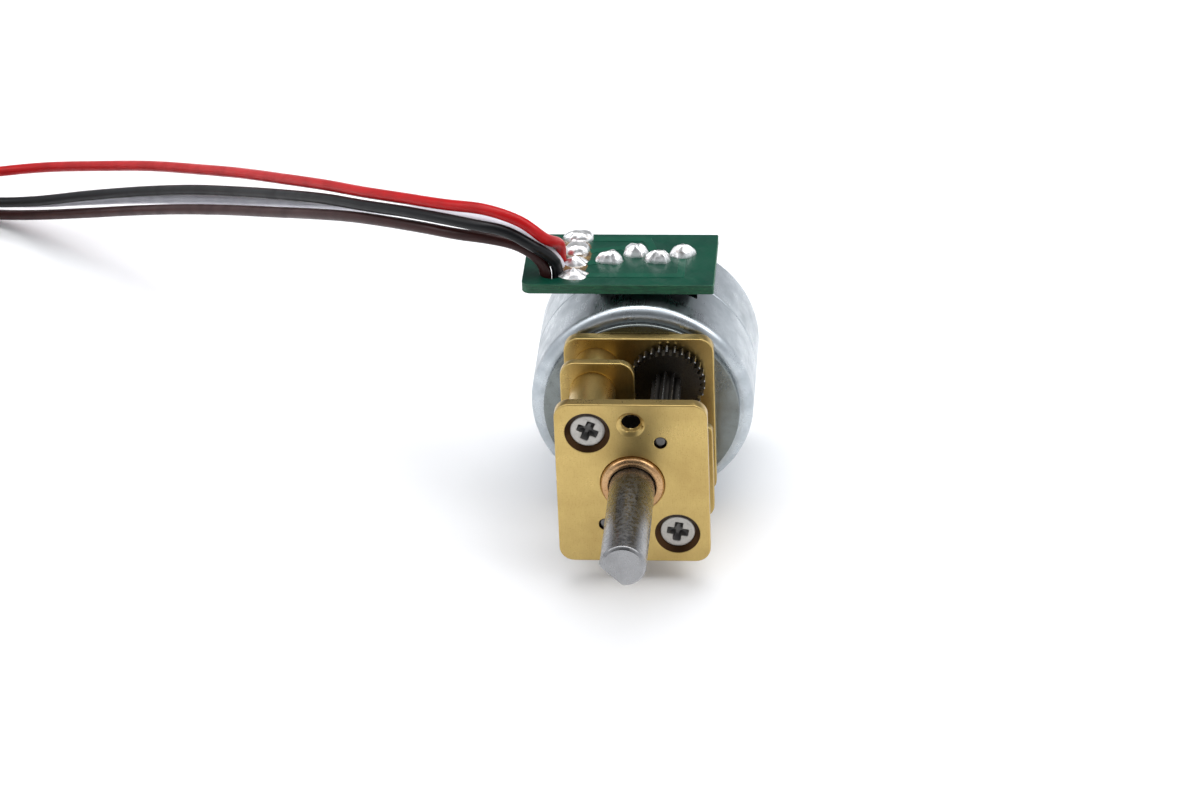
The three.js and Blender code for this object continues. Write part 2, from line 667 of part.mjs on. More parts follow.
// Centre lines of the leads, from just above the board down to the surface beside the coil.
const LEAD_ROUTES = {
  brown: [
    [-6.4, 7.0, 16.5],
    [-7.0, 7.1, 17.5],
    [-8.3, 7.2, 18.3],
    [-10.1, 7.5, 18.6],
    [-12.4, 8.3, 18.5],
    [-14.8, 9.7, 18.2],
    [-17.5, 11.8, 17.5],
    [-20.4, 14.5, 16.4],
    [-23.6, 17.8, 14.8],
    [-27.1, 21.7, 12.8],
    [-31.1, 26.0, 10.6],
    [-35.3, 30.1, 8.4],
    [-39.5, 34.1, 6.1],
    [-43.9, 37.9, 3.8],
    [-48.7, 41.4, 1.7],
    [-52.8, 43.5, 0.6],
    [-57.7, 44.6, 0.4],
  ],
  black: [
    [-5.6, 7.2, 16.5],
    [-5.9, 6.8, 17.5],
    [-7.2, 6.3, 18.8],
    [-8.9, 6.5, 19.7],
    [-11.0, 7.2, 19.8],
    [-13.5, 8.7, 19.5],
    [-16.3, 10.9, 18.8],
    [-19.3, 13.7, 17.7],
    [-22.5, 17.2, 16.3],
    [-26.1, 21.3, 14.4],
    [-30.1, 25.8, 12.2],
    [-34.3, 30.1, 10.0],
    [-38.7, 34.1, 7.7],
    [-43.5, 37.7, 5.4],
    [-48.6, 40.8, 3.2],
    [-53.0, 42.8, 2.1],
    [-57.7, 44.6, 2.1],
  ],
  white: [
    [-5.6, 8.0, 16.5],
    [-6.9, 7.7, 18.3],
    [-8.4, 8.2, 18.9],
    [-10.3, 9.1, 19.0],
    [-12.4, 10.3, 18.7],
    [-14.8, 12.0, 18.1],
    [-17.5, 14.0, 17.2],
    [-20.3, 16.6, 16.1],
    [-23.5, 19.7, 14.6],
    [-27.0, 23.3, 12.8],
    [-31.0, 27.5, 10.6],
    [-35.1, 31.5, 8.5],
    [-39.4, 35.4, 6.4],
    [-43.8, 39.0, 4.3],
    [-48.7, 42.1, 2.4],
    [-52.9, 43.9, 1.5],
    [-57.7, 44.6, 1.2],
  ],
  red: [
    [-5.5, 8.8, 16.5],
    [-5.5, 8.2, 17.8],
    [-6.3, 6.8, 19.0],
    [-7.9, 6.6, 20.4],
    [-10.3, 7.5, 20.8],
    [-13.2, 9.1, 20.3],
    [-16.2, 11.6, 19.4],
    [-19.4, 14.7, 18.2],
    [-22.6, 18.3, 16.8],
    [-26.1, 22.5, 15.0],
    [-30.1, 27.3, 12.9],
    [-34.1, 31.8, 10.8],
    [-38.4, 36.2, 8.7],
    [-43.1, 40.3, 6.5],
    [-48.1, 44.0, 4.4],
    [-52.6, 45.4, 3.2],
    [-57.7, 44.6, 2.9],
  ],
};
const COIL = { x: -61.5, y: 39, inner: 3.05, outer: 6.05, height: 3.3 };

// A lead's tube along its route. Its square ends face along the route.
function leadTube(colour) {
  const route = new THREE.CatmullRomCurve3(LEAD_ROUTES[colour].map((point) => new THREE.Vector3(...point)));
  const section = new THREE.Shape();
  section.absarc(0, 0, LEAD_DIAMETER / 2, 0, 2 * Math.PI);
  const steps = 40;
  return solid(new THREE.ExtrudeGeometry(section, { extrudePath: route, steps, curveSegments: 4 }));
}

// The outer shape of the coil that holds the rest of all four leads.
function leadCoil() {
  return sleeve(COIL.outer, COIL.inner, 0, COIL.height, { x: COIL.x, y: COIL.y, sides: SIDES.medium + 4 });
}

// ---- Assembly -----------------------------------------------------------------------------------

const gearbox = new THREE.Group();
piece(gearbox, "front_plate", frontPlate(), BRASS);
piece(gearbox, "middle_plate", middlePlate(), BRASS);
piece(gearbox, "back_plate", backPlate(), BRASS);
piece(gearbox, "column_front_upper", frontColumn(upper), BRASS);
piece(gearbox, "column_front_lower", frontColumn(lower), BRASS);
piece(gearbox, "column_rear_upper", rearColumn(upper), BRASS);
piece(gearbox, "column_rear_lower", rearColumn(lower), BRASS);
piece(gearbox, "front_screw_upper", frontScrew(upper, -0.4), SCREW_STEEL);
piece(gearbox, "front_screw_lower", frontScrew(lower, -0.17), SCREW_STEEL);
piece(gearbox, "output_bush", outputBush(), BRONZE);
piece(gearbox, "output_shaft", outputShaft(), SHAFT_STEEL);
piece(gearbox, "output_gear", outputGear(), DARK_STEEL);
piece(gearbox, "idler_gear", idlerGear(), DARK_STEEL);
piece(gearbox, "gear_a", gearA(), DARK_STEEL);
piece(gearbox, "gear_b", gearB(), DARK_STEEL);
piece(gearbox, "arbor_a", arbor(arborA), SHAFT_STEEL);
piece(gearbox, "arbor_b", arbor(arborB), SHAFT_STEEL);
const spacerA = sleeve(SPACER_RADIUS, ARBOR.hole, FRONT_PLATE.back - 0.1, PINION_A_FRONT + 0.1, arborA);
const spacerB = sleeve(SPACER_RADIUS, ARBOR.hole, WHEEL_B.back - 0.1, BACK_PLATE.front + 0.1, arborB);
piece(gearbox, "spacer_a", spacerA, BRASS);
piece(gearbox, "spacer_b", spacerB, BRASS);
piece(gearbox, "motor_pinion", motorPinion(), BRASS);

const motor = new THREE.Group();
const shaftEnds = [MOTOR_PINION.front + 0.15, REAR_POCKET_END + 2 * FIT];
piece(motor, "motor_shaft", disc(MOTOR_SHAFT_RADIUS, ...shaftEnds), SHAFT_STEEL);
const hubBore = MOTOR_SHAFT_RADIUS + FIT;
piece(motor, "rotor_hub", sleeve(ROTOR.hub, hubBore, ROTOR.front, ROTOR.back), BLACK_PLASTIC);
piece(motor, "rotor_magnet", sleeve(MAGNET_RADIUS, ROTOR.hub + FIT, ROTOR.front, ROTOR.back), FERRITE);
const washerBore = MOTOR_SHAFT_RADIUS + RUNNING;
const washer = (front, back) => sleeve(1.2, washerBore, front, back, { sides: SIDES.small });
piece(motor, "thrust_washer_front", washer(-4.9, -5.1), BRONZE);
piece(motor, "thrust_washer_rear", washer(-13.4, -13.6), BRONZE);
piece(motor, "front_flange", motorFlange(), ZINC);
piece(motor, "front_bearing", frontBearing(), BRONZE);
piece(motor, "rear_cover", rearCover(), ZINC);
piece(motor, "rear_bearing", rearBearing(), BRONZE);
for (const [name, side] of [["front", 1], ["rear", -1]]) {
  piece(motor, name + "_can", canHalf(side), ZINC);
  piece(motor, name + "_claw_plate", clawPlate(side), ZINC);
  piece(motor, name + "_bobbin", bobbin(side), BLACK_PLASTIC);
  piece(motor, name + "_winding", winding(side), COPPER);
}
allPins.forEach((pin, i) => piece(motor, "terminal_pin_" + (i + 1), terminalPin(pin), SOLDER));
drive.add(gearbox, motor);

const wiring = new THREE.Group();
piece(wiring, "circuit_board", circuitBoard(), BOARD_GREEN);
allPins.forEach((pin, i) => piece(wiring, "pin_solder_" + (i + 1), pinSolder(pin), SOLDER));
LEAD_COLOURS.forEach((colour, i) => {
  piece(wiring, "lead_solder_" + colour, leadSolder(padPlaces[i]), SOLDER);
  piece(wiring, "lead_" + colour, leadTube(colour), LEAD_FINISH[colour]);
});
piece(wiring, "lead_coil", leadCoil(), LEAD_FINISH.red);

const gearmotor = new THREE.Group();
gearmotor.add(drive, wiring);

export default gearmotor;
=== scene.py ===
"""Looks of the gearmotor: a can-stack stepper with an open brass gearbox, a terminal board and four leads.

Sizes are in millimetres until a mesh is built, and the frame is the CAD's: +Z up, the shaft towards -Y.
A "station" is a distance in front of the origin along the shaft axis, towards the shaft's tip.
"""

import math

import bmesh
import bpy
from mathutils import Matrix, Vector, noise
from mathutils.geometry import tessellate_polygon


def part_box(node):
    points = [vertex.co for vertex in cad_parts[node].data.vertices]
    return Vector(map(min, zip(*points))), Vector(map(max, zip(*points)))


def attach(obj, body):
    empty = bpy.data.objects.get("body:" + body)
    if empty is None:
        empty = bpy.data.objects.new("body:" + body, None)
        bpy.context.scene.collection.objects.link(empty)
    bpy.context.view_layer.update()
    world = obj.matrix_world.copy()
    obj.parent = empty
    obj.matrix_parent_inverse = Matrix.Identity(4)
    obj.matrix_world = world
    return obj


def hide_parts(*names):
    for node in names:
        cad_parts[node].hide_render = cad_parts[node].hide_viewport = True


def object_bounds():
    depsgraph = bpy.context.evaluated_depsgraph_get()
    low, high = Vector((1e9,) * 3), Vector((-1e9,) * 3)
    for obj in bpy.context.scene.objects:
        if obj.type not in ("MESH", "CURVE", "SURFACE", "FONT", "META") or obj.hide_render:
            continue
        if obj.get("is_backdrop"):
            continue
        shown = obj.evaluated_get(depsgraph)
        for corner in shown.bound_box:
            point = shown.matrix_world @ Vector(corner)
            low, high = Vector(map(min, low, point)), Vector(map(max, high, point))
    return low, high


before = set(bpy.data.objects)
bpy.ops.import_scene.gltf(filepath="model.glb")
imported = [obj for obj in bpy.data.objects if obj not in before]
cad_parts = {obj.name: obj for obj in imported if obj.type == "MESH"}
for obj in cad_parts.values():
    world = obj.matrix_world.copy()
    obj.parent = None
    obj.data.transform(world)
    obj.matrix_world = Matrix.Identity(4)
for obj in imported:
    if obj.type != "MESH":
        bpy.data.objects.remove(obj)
cad_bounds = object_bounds()

MM = 0.001
AXIS_HEIGHT = 7.5


def span(node):
    """A CAD node's front and back stations, in mm."""
    low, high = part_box(node)
    return -low.y / MM, -high.y / MM


# ---- Camera ----

CAMERA = {
    "aim": Vector((-2.162, -2.818, 12.278)),
    "azimuth": math.radians(5.198),
    "elevation": math.radians(30.963),
    "roll": math.radians(-2.299),
    "distance": 292.55,
    "lens": 134.18,
    "sensor": 36.0,
}


def add_camera():
    turn, rise = CAMERA["azimuth"], CAMERA["elevation"]
    back = Vector((math.sin(turn) * math.cos(rise), -math.cos(turn) * math.cos(rise), math.sin(rise)))
    right = Vector((math.cos(turn), math.sin(turn), 0))
    up = back.cross(right)
    lean = Matrix.Rotation(CAMERA["roll"], 3, back)
    axes = Matrix((lean @ right, lean @ up, back)).transposed()
    data = bpy.data.cameras.new("photo_camera")
    data.sensor_width = CAMERA["sensor"]
    data.lens = CAMERA["lens"]
    data.clip_start = 0.005
    data.clip_end = 20
    camera = bpy.data.objects.new("photo_camera", data)
    place = (CAMERA["aim"] + back * CAMERA["distance"]) * MM
    camera.matrix_world = Matrix.Translation(place) @ axes.to_4x4()
    bpy.context.scene.collection.objects.link(camera)
    bpy.context.scene.camera = camera


add_camera()

# ---- Leads ----

LEAD_DIAMETER = 0.78
SLOT_FLOOR = 15.2  # where a lead's straight rise starts, inside the board's slot
COIL = {"x": -61.5, "y": 39.0, "radius": 5.6, "tighten": 0.85, "turns": 2.5}
COIL_LAYERS = {"brown": 0.42, "white": 1.24, "black": 2.06, "red": 2.88}  # heights, one lead on another
LEAD_ROUTES = {
    "brown": (
        (-6.4, 7.0, 16.5), (-7.0, 7.1, 17.5), (-8.3, 7.2, 18.3), (-10.1, 7.5, 18.6),
        (-12.4, 8.3, 18.5), (-14.8, 9.7, 18.2), (-17.5, 11.8, 17.5), (-20.4, 14.5, 16.4),
        (-23.6, 17.8, 14.8), (-27.1, 21.7, 12.8), (-31.1, 26.0, 10.6), (-35.3, 30.1, 8.4),
        (-39.5, 34.1, 6.1), (-43.9, 37.9, 3.8), (-48.7, 41.4, 1.7), (-52.8, 43.5, 0.6),
        (-57.7, 44.6, 0.4),
    ),
    "black": (
        (-5.6, 7.2, 16.5), (-5.9, 6.8, 17.5), (-7.2, 6.3, 18.8), (-8.9, 6.5, 19.7),
        (-11.0, 7.2, 19.8), (-13.5, 8.7, 19.5), (-16.3, 10.9, 18.8), (-19.3, 13.7, 17.7),
        (-22.5, 17.2, 16.3), (-26.1, 21.3, 14.4), (-30.1, 25.8, 12.2), (-34.3, 30.1, 10.0),
        (-38.7, 34.1, 7.7), (-43.5, 37.7, 5.4), (-48.6, 40.8, 3.2), (-53.0, 42.8, 2.1),
        (-57.7, 44.6, 2.1),
    ),
    "white": (
        (-5.6, 8.0, 16.5), (-6.9, 7.7, 18.3), (-8.4, 8.2, 18.9), (-10.3, 9.1, 19.0),
        (-12.4, 10.3, 18.7), (-14.8, 12.0, 18.1), (-17.5, 14.0, 17.2), (-20.3, 16.6, 16.1),
        (-23.5, 19.7, 14.6), (-27.0, 23.3, 12.8), (-31.0, 27.5, 10.6), (-35.1, 31.5, 8.5),
        (-39.4, 35.4, 6.4), (-43.8, 39.0, 4.3), (-48.7, 42.1, 2.4), (-52.9, 43.9, 1.5),
        (-57.7, 44.6, 1.2),
    ),
    "red": (
        (-5.5, 8.8, 16.5), (-5.5, 8.2, 17.8), (-6.3, 6.8, 19.0), (-7.9, 6.6, 20.4),
        (-10.3, 7.5, 20.8), (-13.2, 9.1, 20.3), (-16.2, 11.6, 19.4), (-19.4, 14.7, 18.2),
        (-22.6, 18.3, 16.8), (-26.1, 22.5, 15.0), (-30.1, 27.3, 12.9), (-34.1, 31.8, 10.8),
        (-38.4, 36.2, 8.7), (-43.1, 40.3, 6.5), (-48.1, 44.0, 4.4), (-52.6, 45.4, 3.2),
        (-57.7, 44.6, 2.9),
    ),
}


def coil_point(turns, height):
    """A point of the coil that many turns after the lead runs into it."""
    angle = math.pi / 2 + 2 * math.pi * turns
    radius = COIL["radius"] - COIL["tighten"] * turns
    return Vector((COIL["x"] + radius * math.cos(angle), COIL["y"] + radius * math.sin(angle), height))


def smooth_line(points, per_step):
    """A Catmull-Rom line through the points."""
    ends = [2 * points[0] - points[1], *points, 2 * points[-1] - points[-2]]
    line = []
    for before, a, b, after in zip(ends, ends[1:], ends[2:], ends[3:]):
        for i in range(per_step):
            t = i / per_step
            line.append(
                0.5 * (2 * a + (b - before) * t + (2 * before - 5 * a + 4 * b - after) * t**2
                       + (3 * a - before - 3 * b + after) * t**3)
            )
    return [*line, points[-1]]

# ---- Materials ----


class Nodes:
    """A shader's node tree, to which short calls add nodes."""

    def __init__(self, tree):
        self.tree = tree

    def node(self, kind, inputs=None, **settings):
        made = self.tree.nodes.new("ShaderNode" + kind)
        for key, value in settings.items():
            setattr(made, key, value)
        for key, value in (inputs or {}).items():
            self.plug(made.inputs[key], value)
        return made

    def plug(self, socket, value):
        if isinstance(value, bpy.types.NodeSocket):
            self.tree.links.new(value, socket)
        else:
            socket.default_value = value


class Finish(Nodes):
    """A material under construction."""

    def __init__(self, name, colour, roughness, metallic=0.0, **sockets):
        self.material = bpy.data.materials.new(name)
        self.material.use_nodes = True
        super().__init__(self.material.node_tree)
        self.shader = self.tree.nodes["Principled BSDF"]
        self.place = self.node("TexCoord").outputs["Object"]
        self.set("Base Color", (*colour, 1))
        self.set("Roughness", roughness)
        self.set("Metallic", metallic)
        for socket, value in sockets.items():
            self.set(socket.replace("_", " "), value)

    def set(self, socket, value):
        self.plug(self.shader.inputs[socket], value)

    def noise(self, size, detail=3.0, stretch=(1, 1, 1), rough=0.5, seed=0.0):
        """Noise whose grains are about that many millimetres, and longer where a stretch is over 1."""
        scale = [1 / (size * MM * s) for s in stretch]
        moved = (seed, seed, seed)
        placed = self.node("Mapping", {"Vector": self.place, "Scale": scale, "Location": moved})
        inputs = {"Vector": placed.outputs[0], "Scale": 1.0, "Detail": detail, "Roughness": rough}
        return self.node("TexNoise", inputs).outputs["Fac"]

    def range(self, value, low, high, to_low=0.0, to_high=1.0):
        inputs = {"Value": value, "From Min": low, "From Max": high, "To Min": to_low, "To Max": to_high}
        return self.node("MapRange", inputs, interpolation_type="SMOOTHSTEP").outputs["Result"]

    def mix(self, factor, a, b):
        made = self.node("Mix", data_type="RGBA")
        for index, value in ((0, factor), (6, a), (7, b)):
            if not isinstance(value, bpy.types.NodeSocket) and index:
                value = (*value, 1)
            self.plug(made.inputs[index], value)
        return made.outputs[2]

    def math(self, operation, a, b):
        return self.node("Math", {0: a, 1: b}, operation=operation).outputs[0]

    def bump(self, *layers):
        """Bumps from (height, depth in millimetres, strength)."""
        normal = None
        for height, depth, strength in layers:
            inputs = {"Height": height, "Distance": depth * MM, "Strength": strength}
            if normal:
                inputs["Normal"] = normal
            normal = self.node("Bump", inputs).outputs[0]
        self.set("Normal", normal)


def brass(name, colour, dark, roughness):
    """Rolled and brushed brass sheet, with fine upright scratches, speckle and tarnish."""
    made = Finish(name, colour, roughness, 1.0)
    scratch = made.noise(0.05, 4, (1, 1, 16), 0.6)
    speckle = made.noise(0.11, 2, seed=3)
    cloud = made.noise(2.2, 5, rough=0.6, seed=7)
    tarnish = made.mix(made.range(cloud, 0.35, 0.75, 0.0, 0.35), colour, dark)
    spotted = made.mix(made.range(speckle, 0.54, 0.75, 0.0, 0.4), tarnish, dark)
    made.set("Base Color", made.mix(made.range(scratch, 0.4, 0.8, 0.0, 0.25), spotted, dark))
    clouded = made.range(cloud, 0.3, 0.8, -0.04, 0.05)
    uneven = made.math("ADD", made.range(speckle, 0.3, 0.8, 0.0, 0.08), clouded)
    made.set("Roughness", made.math("ADD", uneven, roughness))
    made.bump((scratch, 0.002, 0.25), (speckle, 0.002, 0.2))
    return made.material


def bronze():
    """The burnished sintered bush, with fine pores."""
    colour, pore = (0.45, 0.26, 0.125), (0.16, 0.07, 0.03)
    made = Finish("bronze", colour, 0.24, 1.0)
    pores = made.range(made.noise(0.09, 3, seed=2), 0.56, 0.72)
    cloud = made.noise(0.9, 3, seed=9)
    warm = made.mix(made.range(cloud, 0.3, 0.7), colour, (0.52, 0.33, 0.17))
    made.set("Base Color", made.mix(made.math("MULTIPLY", pores, 0.6), warm, pore))
    smooth = made.range(cloud, 0.3, 0.7, 0.16, 0.28)
    made.set("Roughness", made.math("ADD", smooth, made.math("MULTIPLY", pores, 0.25)))
    made.bump((made.math("SUBTRACT", 1.0, pores), 0.012, 0.5))
    return made.material


def turned_steel(name, colour, roughness, ring=0.05, depth=0.002):
    """Ground or turned steel, with fine rings round the shaft axis and a few stains."""
    made = Finish(name, colour, roughness, 1.0)
    rings = made.noise(ring, 2, (30, 1, 30), 0.6)
    stain = made.noise(1.3, 4, seed=5)
    darker = tuple(c * 0.72 for c in colour)
    made.set("Base Color", made.mix(made.range(stain, 0.42, 0.72, 0.0, 0.6), colour, darker))
    rough = made.range(made.noise(0.3, 3, seed=1), 0.3, 0.7, roughness * 0.8, roughness * 1.3)
    made.set("Roughness", rough)
    made.bump((rings, depth, 0.5), (made.noise(0.06, 2, seed=4), depth, 0.12))
    return made.material


def grainy(name, colours, metallic, grain, roughness, bump):
    """A fine-grained matt material, whose two colours and roughness follow the grain."""
    made = Finish(name, colours[0], roughness[0], metallic)
    size, detail, seed = grain
    grains = made.noise(size, detail, seed=seed)
    made.set("Base Color", made.mix(made.range(grains, 0.35, 0.7), *colours))
    made.set("Roughness", made.range(grains, 0.3, 0.7, *roughness))
    made.bump((grains, *bump))
    return made.material


def dark_steel():
    """Sintered gears: dark, faintly brown."""
    colours = ((0.085, 0.08, 0.072), (0.06, 0.055, 0.05))
    return grainy("dark_steel", colours, 1.0, (0.07, 3, 6), (0.28, 0.46), (0.006, 0.4))


def zinc_steel(name, colour, shade, smudged, roughness):
    """Drawn and plated steel: bluish silver, with drawing marks, clouds and smudges."""
    made = Finish(name, colour, roughness, 1.0)
    drawn = made.noise(0.12, 4, (1, 14, 1), 0.65)
    cloud = made.noise(1.6, 5, rough=0.65, seed=8)
    smudge = made.noise(3.1, 4, seed=13)
    shaded = made.mix(made.range(cloud, 0.35, 0.7), colour, shade)
    made.set("Base Color", made.mix(made.range(smudge, 0.5, 0.75, 0.0, 0.55), shaded, smudged))
    drawn_rough = made.range(drawn, 0.3, 0.8, -0.04, 0.06)
    rough = made.math("ADD", made.range(cloud, 0.3, 0.75, roughness - 0.08, roughness + 0.08), drawn_rough)
    made.set("Roughness", rough)
    made.bump((cloud, 0.02, 0.12), (drawn, 0.002, 0.2))
    return made.material


def screw_steel():
    """Zinc-plated screw heads: pale, satin, a little pitted."""
    colour = (0.43, 0.41, 0.38)
    made = Finish("screw_steel", colour, 0.36, 1.0)
    pits = made.range(made.noise(0.1, 3, seed=12), 0.55, 0.75)
    made.set("Base Color", made.mix(made.math("MULTIPLY", pits, 0.6), colour, (0.22, 0.2, 0.175)))
    made.set("Roughness", made.range(made.noise(0.35, 3, seed=2), 0.3, 0.7, 0.3, 0.46))
    made.bump((made.math("SUBTRACT", 1.0, pits), 0.01, 0.5))
    return made.material


def ferrite():
    """The ground magnet, dark grey."""
    colours = ((0.035, 0.035, 0.04), (0.075, 0.075, 0.085))
    return grainy("ferrite", colours, 0.2, (0.06, 4, 1), (0.5, 0.75), (0.01, 0.5))


def black_plastic():
    """Moulded glass-filled plastic, with short pale fibres just under its skin."""
    made = Finish("black_plastic", (0.012, 0.012, 0.013), 0.42)
    fibre = made.range(made.noise(0.05, 2, (1, 6, 1), seed=3), 0.6, 0.8)
    pale = made.math("MULTIPLY", fibre, 0.4)
    made.set("Base Color", made.mix(pale, (0.012, 0.012, 0.013), (0.06, 0.06, 0.06)))
    made.set("Roughness", made.range(made.noise(0.2, 3), 0.3, 0.7, 0.34, 0.52))
    made.bump((made.noise(0.09, 3, seed=5), 0.008, 0.4))
    return made.material


def copper_wire():
    """Enamelled wire, wound in turns side by side."""
    made = Finish("copper_wire", (0.62, 0.24, 0.1), 0.3, 0.9, Coat_Weight=0.6, Coat_Roughness=0.15)
    across = made.node("SeparateXYZ", {"Vector": made.place}).outputs["Y"]
    turn = made.math("MULTIPLY", across, 2 * math.pi / (0.11 * MM))
    wave = made.range(made.math("SINE", turn, 0.0), -1, 1)
    made.set("Base Color", made.mix(wave, (0.3, 0.09, 0.03), (0.72, 0.3, 0.12)))
    made.set("Roughness", made.range(made.noise(0.4, 2), 0.3, 0.7, 0.22, 0.4))
    made.bump((wave, 0.05, 0.8))
    return made.material


def solder_mask(name, colour, deep):
    """Glossy green mask over a woven glass board, whose weave just shows."""
    made = Finish(name, colour, 0.35, 0.0, Coat_Weight=0.1, Coat_Roughness=0.25, Specular_IOR_Level=0.3)
    axes = made.node("SeparateXYZ", {"Vector": made.place}).outputs
    cell = 2 * math.pi / (0.55 * MM)
    waves = [made.math("SINE", made.math("MULTIPLY", axes[axis], cell), 0.0) for axis in ("X", "Y")]
    weave = made.range(made.math("MULTIPLY", *waves), -1, 1)
    cloud = made.noise(2.5, 3, seed=4)
    tone = made.math("ADD", made.range(cloud, 0.3, 0.7, 0.1, 0.8), made.math("MULTIPLY", weave, 0.2))
    made.set("Base Color", made.mix(tone, colour, deep))
    made.set("Roughness", made.range(made.noise(0.5, 3, seed=6), 0.3, 0.7, 0.28, 0.42))
    made.bump((weave, 0.004, 0.3), (made.noise(0.6, 2, seed=9), 0.01, 0.2))
    return made.material


def board_edge():
    """The sawn edge of the glass laminate, layered and lighter than the mask."""
    made = Finish("board_edge", (0.03, 0.16, 0.07), 0.55)
    layers = made.noise(0.06, 3, (12, 12, 1), seed=2)
    chips = made.noise(0.15, 4, seed=8)
    layered = made.mix(made.range(layers, 0.35, 0.65), (0.003, 0.06, 0.03), (0.006, 0.10, 0.045))
    made.set("Base Color", made.mix(made.range(chips, 0.58, 0.78, 0.0, 0.5), layered, (0.10, 0.20, 0.09)))
    made.set("Roughness", made.range(chips, 0.3, 0.7, 0.4, 0.7))
    made.bump((layers, 0.015, 0.5), (chips, 0.03, 0.4))
    return made.material


def solder():
    """Bright solder, dull and wrinkled in patches where it froze last."""
    colour = (0.93, 0.93, 0.93)
    made = Finish("solder", colour, 0.24, 1.0)
    frozen = made.range(made.noise(0.28, 4, rough=0.6, seed=3), 0.52, 0.7)
    stain = made.range(made.noise(0.45, 3, seed=11), 0.6, 0.72)
    greyed = made.mix(made.math("MULTIPLY", frozen, 0.4), colour, (0.6, 0.6, 0.62))
    made.set("Base Color", made.mix(made.math("MULTIPLY", stain, 0.6), greyed, (0.34, 0.25, 0.18)))
    made.set("Roughness", made.math("ADD", made.math("MULTIPLY", frozen, 0.15), 0.34))
    made.bump((made.noise(0.35, 3, seed=5), 0.05, 0.45))
    return made.material


def flux():
    """Amber flux left round the joints."""
    made = Finish("flux", (0.16, 0.08, 0.03), 0.16, 0.0, Coat_Weight=1.0, Coat_Roughness=0.06)
    burnt = made.noise(0.4, 4, seed=4)
    made.set("Base Color", made.mix(made.range(burnt, 0.35, 0.7), (0.22, 0.14, 0.05), (0.05, 0.03, 0.018)))
    made.set("Roughness", made.range(burnt, 0.3, 0.7, 0.1, 0.35))
    made.bump((made.noise(0.25, 3, seed=7), 0.03, 0.5))
    return made.material


def pvc(name, colour, shade):
    """A lead's smooth insulation, with faint draw lines, dust and a waxy shine."""
    made = Finish(name, colour, 0.4, 0.0, Coat_Weight=0.05, Coat_Roughness=0.2, Specular_IOR_Level=0.22)
    cloud = made.noise(1.4, 4, seed=3)
    dust = made.range(made.noise(0.09, 3, seed=8), 0.6, 0.8)
    soft = made.mix(made.range(cloud, 0.3, 0.75), colour, shade)
    pale = tuple(0.8 * c + 0.04 for c in colour)
    made.set("Base Color", made.mix(made.math("MULTIPLY", dust, 0.2), soft, pale))
    made.set("Roughness", made.range(cloud, 0.3, 0.7, 0.28, 0.44))
    made.bump((made.noise(0.5, 3, seed=5), 0.012, 0.25), (made.noise(0.07, 2, seed=6), 0.004, 0.25))
    return made.material


FINISHES = {
    "brass": brass("brass", (0.55, 0.40, 0.15), (0.34, 0.22, 0.07), 0.3),
    # dark oily brass with painted shade, for the walls of the column countersinks and arbor holes in the
    # front plate
    "oily_brass_painted_shade": brass("oily_brass_painted_shade", (0.06, 0.03, 0.014), (0.035, 0.018, 0.008), 0.42),
    "bronze": bronze(),
    "shaft_steel": turned_steel("shaft_steel", (0.30, 0.30, 0.305), 0.26, 0.07, 0.0012),
    "pin_steel": turned_steel("pin_steel", (0.17, 0.165, 0.16), 0.38, 0.03),
    "dark_steel": dark_steel(),
    "tooth_land": turned_steel("tooth_land", (0.34, 0.34, 0.34), 0.25, 0.05, 0.002),
    "zinc_steel": zinc_steel("zinc_steel", (0.5, 0.54, 0.57), (0.4, 0.44, 0.47), (0.3, 0.33, 0.35), 0.34),
    # the flange disc's steel is darker than the can's: a duller steel, and painted shade for the shade
    # under the board and beside the gearbox
    "disc_steel_painted_shade": zinc_steel(
        "disc_steel_painted_shade", (0.21, 0.23, 0.225), (0.16, 0.175, 0.17), (0.14, 0.14, 0.13), 0.26
    ),
    "screw_steel": screw_steel(),
    # dark steel for the deeper walls and floor of a screw's cross recess: painted shade
    "screw_recess_painted_shade": turned_steel("screw_recess_painted_shade", (0.12, 0.115, 0.11), 0.45, 0.04, 0.006),
    "ferrite": ferrite(),
    "black_plastic": black_plastic(),
    "copper_wire": copper_wire(),
    "board_green": solder_mask("board_green", (0.001, 0.062, 0.034), (0.001, 0.042, 0.026)),
    "board_trace": solder_mask("board_trace", (0.001, 0.076, 0.042), (0.001, 0.058, 0.033)),
    "board_edge": board_edge(),
    "solder": solder(),
    "flux": flux(),
    "lead_brown": pvc("lead_brown", (0.04, 0.010, 0.009), (0.028, 0.007, 0.006)),
    "lead_black": pvc("lead_black", (0.004, 0.0045, 0.006), (0.003, 0.003, 0.004)),
    "lead_white": pvc("lead_white", (0.70, 0.70, 0.76), (0.60, 0.60, 0.67)),
    "lead_red": pvc("lead_red", (0.50, 0.004, 0.006), (0.38, 0.003, 0.004)),
    "tape": pvc("tape", (0.70, 0.66, 0.50), (0.60, 0.55, 0.40)),
}

# ---- Mesh building ----

SHAFT_FRAME = Matrix(((1, 0, 0, 0), (0, 0, -1, 0), (0, 1, 0, AXIS_HEIGHT), (0, 0, 0, 1)))
ROW_FRAME = Matrix.Identity(4)
SHARP = math.radians(38)


